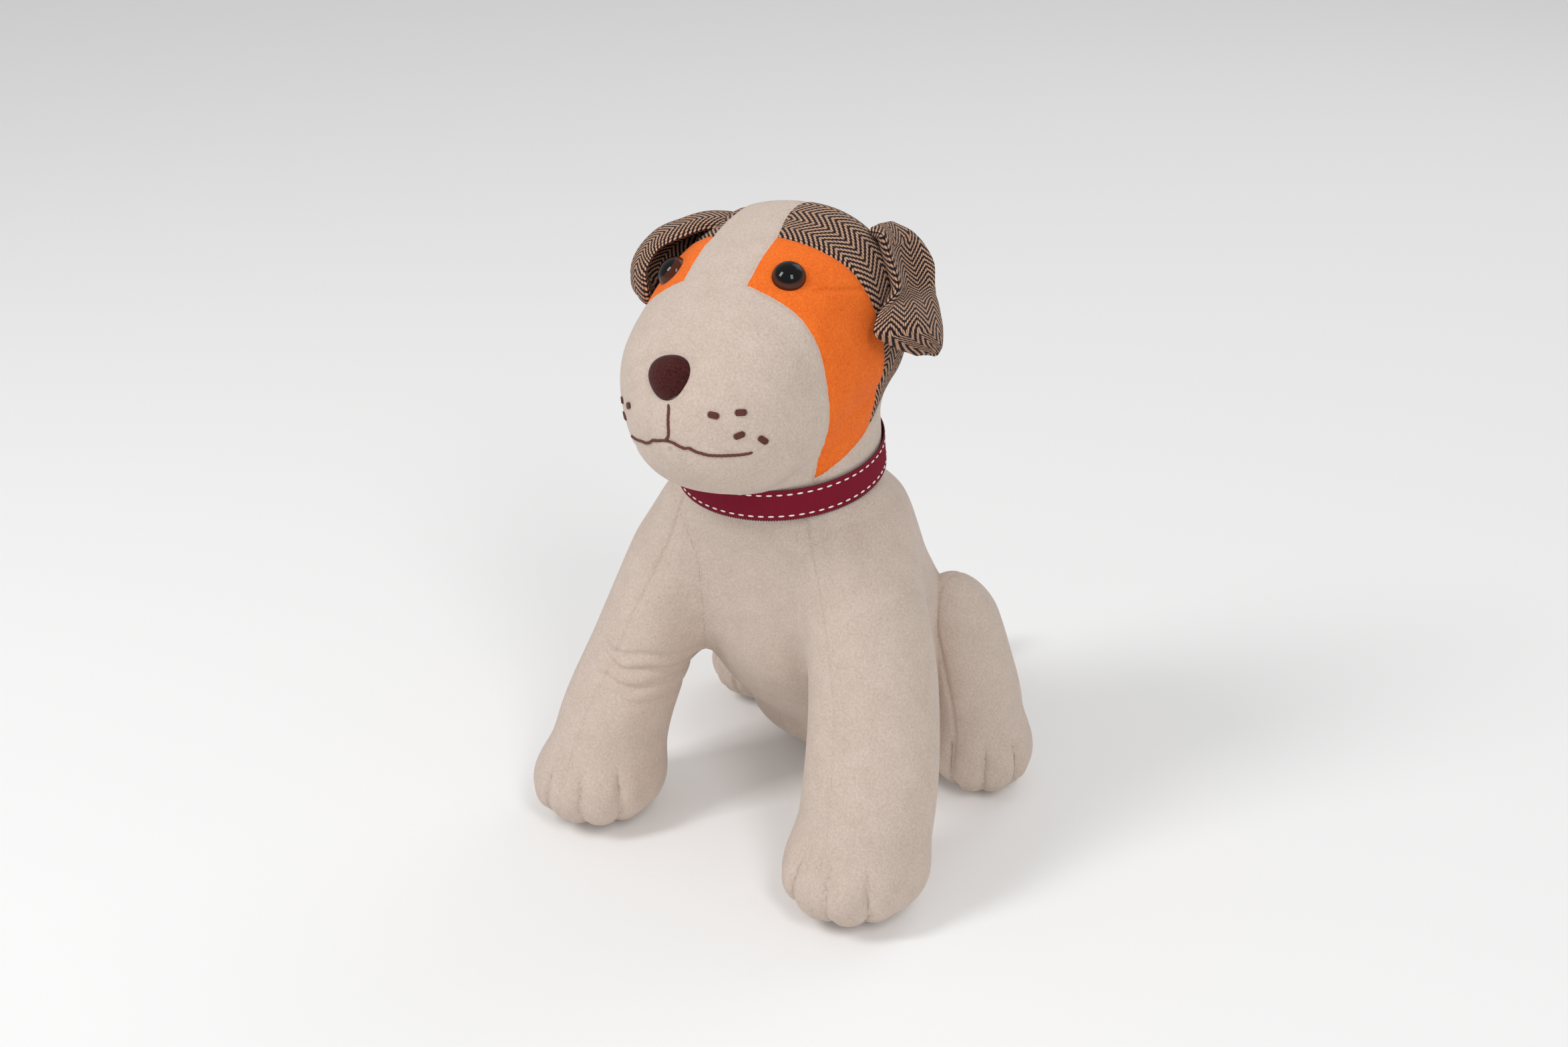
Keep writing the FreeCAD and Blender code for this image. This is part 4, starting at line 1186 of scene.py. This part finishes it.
def stem_stitch(name, pairs):
    """A row of overlapping stitches along a line on the face."""
    points, _ = front_points(smooth_rows(pairs, 400))
    travelled = np.concatenate([[0], np.cumsum(np.linalg.norm(np.diff(points, axis=0), axis=1))])
    marks = np.arange(STEM_PITCH / 2, travelled[-1], STEM_PITCH)
    centres = np.stack([np.interp(marks, travelled, points[:, k]) for k in range(3)], -1)
    ahead = unit(np.gradient(centres, axis=0))
    normals = unit(gradient(centres, whole_head))
    leaned = ahead + STEM_LEAN * np.cross(normals, ahead)
    return lozenges(name, centres + normals * THREAD_LIFT, leaned, normals, [STEM_SIZE] * len(centres))


def freckle(x, z, lean):
    """Five threads side by side, shorter towards the edges."""
    centre, normal = front_points([(x, z)])
    across = unit(np.cross(normal, HEAD_TURN[:, 2][None, :]))
    upward = np.cross(across, normal)
    along = across * math.cos(math.radians(lean)) + upward * math.sin(math.radians(lean))
    other = np.cross(normal, along)
    threads = []
    for k in range(-2, 3):
        place = centre + other * k * FRECKLE_STEP + normal * THREAD_LIFT
        reach = FRECKLE_REACH * math.sqrt(1 - (k / FRECKLE_HALF) ** 2)
        threads.append(lozenges("spot", place, along, normal, [(reach, *FRECKLE_THREAD)]))
    return threads


def build_embroidery():
    """The line from the nose, the mouth and the freckles."""
    lines = join([stem_stitch("philtrum", PHILTRUM), stem_stitch("mouth", MOUTH)], "mouth_stitches")
    finish_piece(lines, BROWN, "brown_thread", "head", "mouth_embroidery")
    freckles = join([thread for spot in FRECKLES for thread in freckle(*spot)], "freckle_stitches_skin")
    finish_piece(freckles, BROWN, "brown_thread", "head", "freckle_stitches")


def onto_head_once(place):
    """The same for one place."""
    points, normals = onto_head(place[None, :])
    return points[0], normals[0]


NOSE_RADIUS = 11.6
NOSE_DOME = 5.4
# how far the nose's edge is sunk into the cloth, and its height as a share of its width
NOSE_SUNK = 0.5
NOSE_SQUAT = 0.92


def build_nose():
    """Flocked nose: a rounded triangle, domed and drawn in at its edge."""
    rings, parts = 14, 72
    centre, normal = onto_head_once(NOSE)
    side = unit(np.cross(normal, HEAD_TURN[:, 2]))
    up = np.cross(side, normal)
    phi = np.linspace(0, 2 * math.pi, parts, endpoint=False)
    outline = NOSE_RADIUS * (1 + 0.06 * np.sin(3 * phi + 0.3) + 0.03 * np.sin(phi))
    grid = []
    for r in np.linspace(0, 1, rings):
        reach = math.sin(r * math.pi / 2)
        rise = NOSE_DOME * math.cos(r * math.pi / 2) ** 0.9 - NOSE_SUNK
        sideways = np.outer(np.cos(phi) * outline * reach, side)
        upwards = np.outer(np.sin(phi) * outline * NOSE_SQUAT * reach, up)
        base, _ = onto_head(centre + sideways + upwards)
        grid.append(base + normal * rise)
    nose = grid_object("nose_skin", np.array(grid), flip=True, close=True)
    finish_piece(nose, NOSE_FLOCK, "nose_flock", "head", "nose_button")


EYE_RADIUS = 8.0
EYE_DOME = 6.6
# how far the rim is sunk into the cloth, and how far the sides go on below it
EYE_SUNK = 0.8
EYE_SKIRT = 2.5
# how far each eye lies from its CAD place: the real head is a little twisted
EYE_SHIFT = {"left": (2.5, 0, -0.5), "right": (2, 2, -8)}


def build_eye(word):
    """A glossy dome set into the face, standing for the safety eye."""
    rings, parts = 18, 64
    surface, normal = onto_head_once(EYES[word] + np.array(EYE_SHIFT[word]) @ HEAD_TURN.T)
    centre = surface - normal * EYE_SUNK
    side = unit(np.cross(normal, [0.0, 0.0, 1.0]))
    up = np.cross(side, normal)
    phi = np.linspace(0, 2 * math.pi, parts, endpoint=False)
    rim = np.outer(np.cos(phi), side) + np.outer(np.sin(phi), up)
    turns = np.linspace(0, math.pi / 2, rings)
    grid = [centre + rim * EYE_RADIUS * math.sin(t) + normal * EYE_DOME * math.cos(t) for t in turns]
    grid.append(grid[-1] - normal * EYE_SKIRT)
    eye = grid_object("eye_%s_dome" % word, np.array(grid), flip=True, close=True)
    finish_piece(eye, eye_material(word, centre, normal), "eye_plastic", "head", "eye_" + word)


def dress_washers():
    """The lock washers stay as they are in the CAD, in their own plastic."""
    for node in ("nose_washer", "eye_washer_left", "eye_washer_right"):
        washer = frame["nodes"][node]
        washer.data.materials.clear()
        washer.data.materials.append(WASHER)


# ---- stage, light and camera


# where the lamps point (m), and half the floor's side (mm)
LIT = (0, 0, 0.17)
FLOOR_HALF = 6000
FLOOR_HEIGHT = -0.5
WORLD_STRENGTH = 0.5
# name, place, size of the panel, watts
LAMPS = [
    ("key", (-0.8, -1.3, 1.7), (0.5, 0.9), 17),
    ("fill", (1.3, -1.0, 1.6), (0.5, 0.9), 11),
    ("back", (0.3, 1.5, 1.6), (1.2, 1.2), 5),
]


def panel_light(name, place, size, power):
    """A soft lamp that points at the dog."""
    data = bpy.data.lights.new(name, "AREA")
    data.shape = "RECTANGLE"
    data.size, data.size_y = size
    data.energy = power
    lamp = bpy.data.objects.new(name, data)
    bpy.context.scene.collection.objects.link(lamp)
    lamp.location = place
    lamp.rotation_euler = (Vector(LIT) - Vector(place)).to_track_quat("-Z", "Y").to_euler()


def build_stage():
    """A pale floor, an even world and three soft lamps."""
    quarters = ((-1, -1), (1, -1), (1, 1), (-1, 1))
    corners = [(x * FLOOR_HALF, y * FLOOR_HALF, FLOOR_HEIGHT) for x, y in quarters]
    floor = mesh_object("floor", corners, [[0, 1, 2, 3]], smooth=False)
    glow = {"Emission_Color": (1.0, 1.0, 1.0, 1.0), "Emission_Strength": 0.05}
    floor.data.materials.append(plain("floor", (244, 244, 244), 0.9, **glow))
    world = bpy.data.worlds.new("studio")
    world.use_nodes = True
    background = world.node_tree.nodes["Background"]
    background.inputs["Color"].default_value = (1, 1, 1, 1)
    background.inputs["Strength"].default_value = WORLD_STRENGTH
    bpy.context.scene.world = world
    for lamp in LAMPS:
        panel_light(*lamp)


# what the camera looks at, from where, and its lens
AIM = (-0.0064, -0.040, 0.1586)
CAMERA_WAY = (0.493, -0.756, 0.4305)
CAMERA_DISTANCE = 1.102
LENS = 50.06
SENSOR = 36


def build_camera():
    """The camera at the photo's place."""
    data = bpy.data.cameras.new("camera")
    data.lens = LENS
    data.sensor_width = SENSOR
    camera = bpy.data.objects.new("camera", data)
    bpy.context.scene.collection.objects.link(camera)
    target = Vector(AIM)
    camera.location = target + CAMERA_DISTANCE * Vector(CAMERA_WAY)
    camera.rotation_euler = (target - camera.location).to_track_quat("-Z", "Y").to_euler()
    bpy.context.scene.camera = camera


build_trunk()
for direction, side_word in ((1, "left"), (-1, "right")):
    build_front_leg(direction, side_word)
    build_hind_leg(direction, side_word)
    build_ear(direction, side_word)
build_tail()
build_head()
build_collar()
build_nose()
build_embroidery()
for side_word in ("left", "right"):
    build_eye(side_word)
dress_washers()
build_stage()
build_camera()
bpy.context.scene.view_settings.view_transform = "Standard"
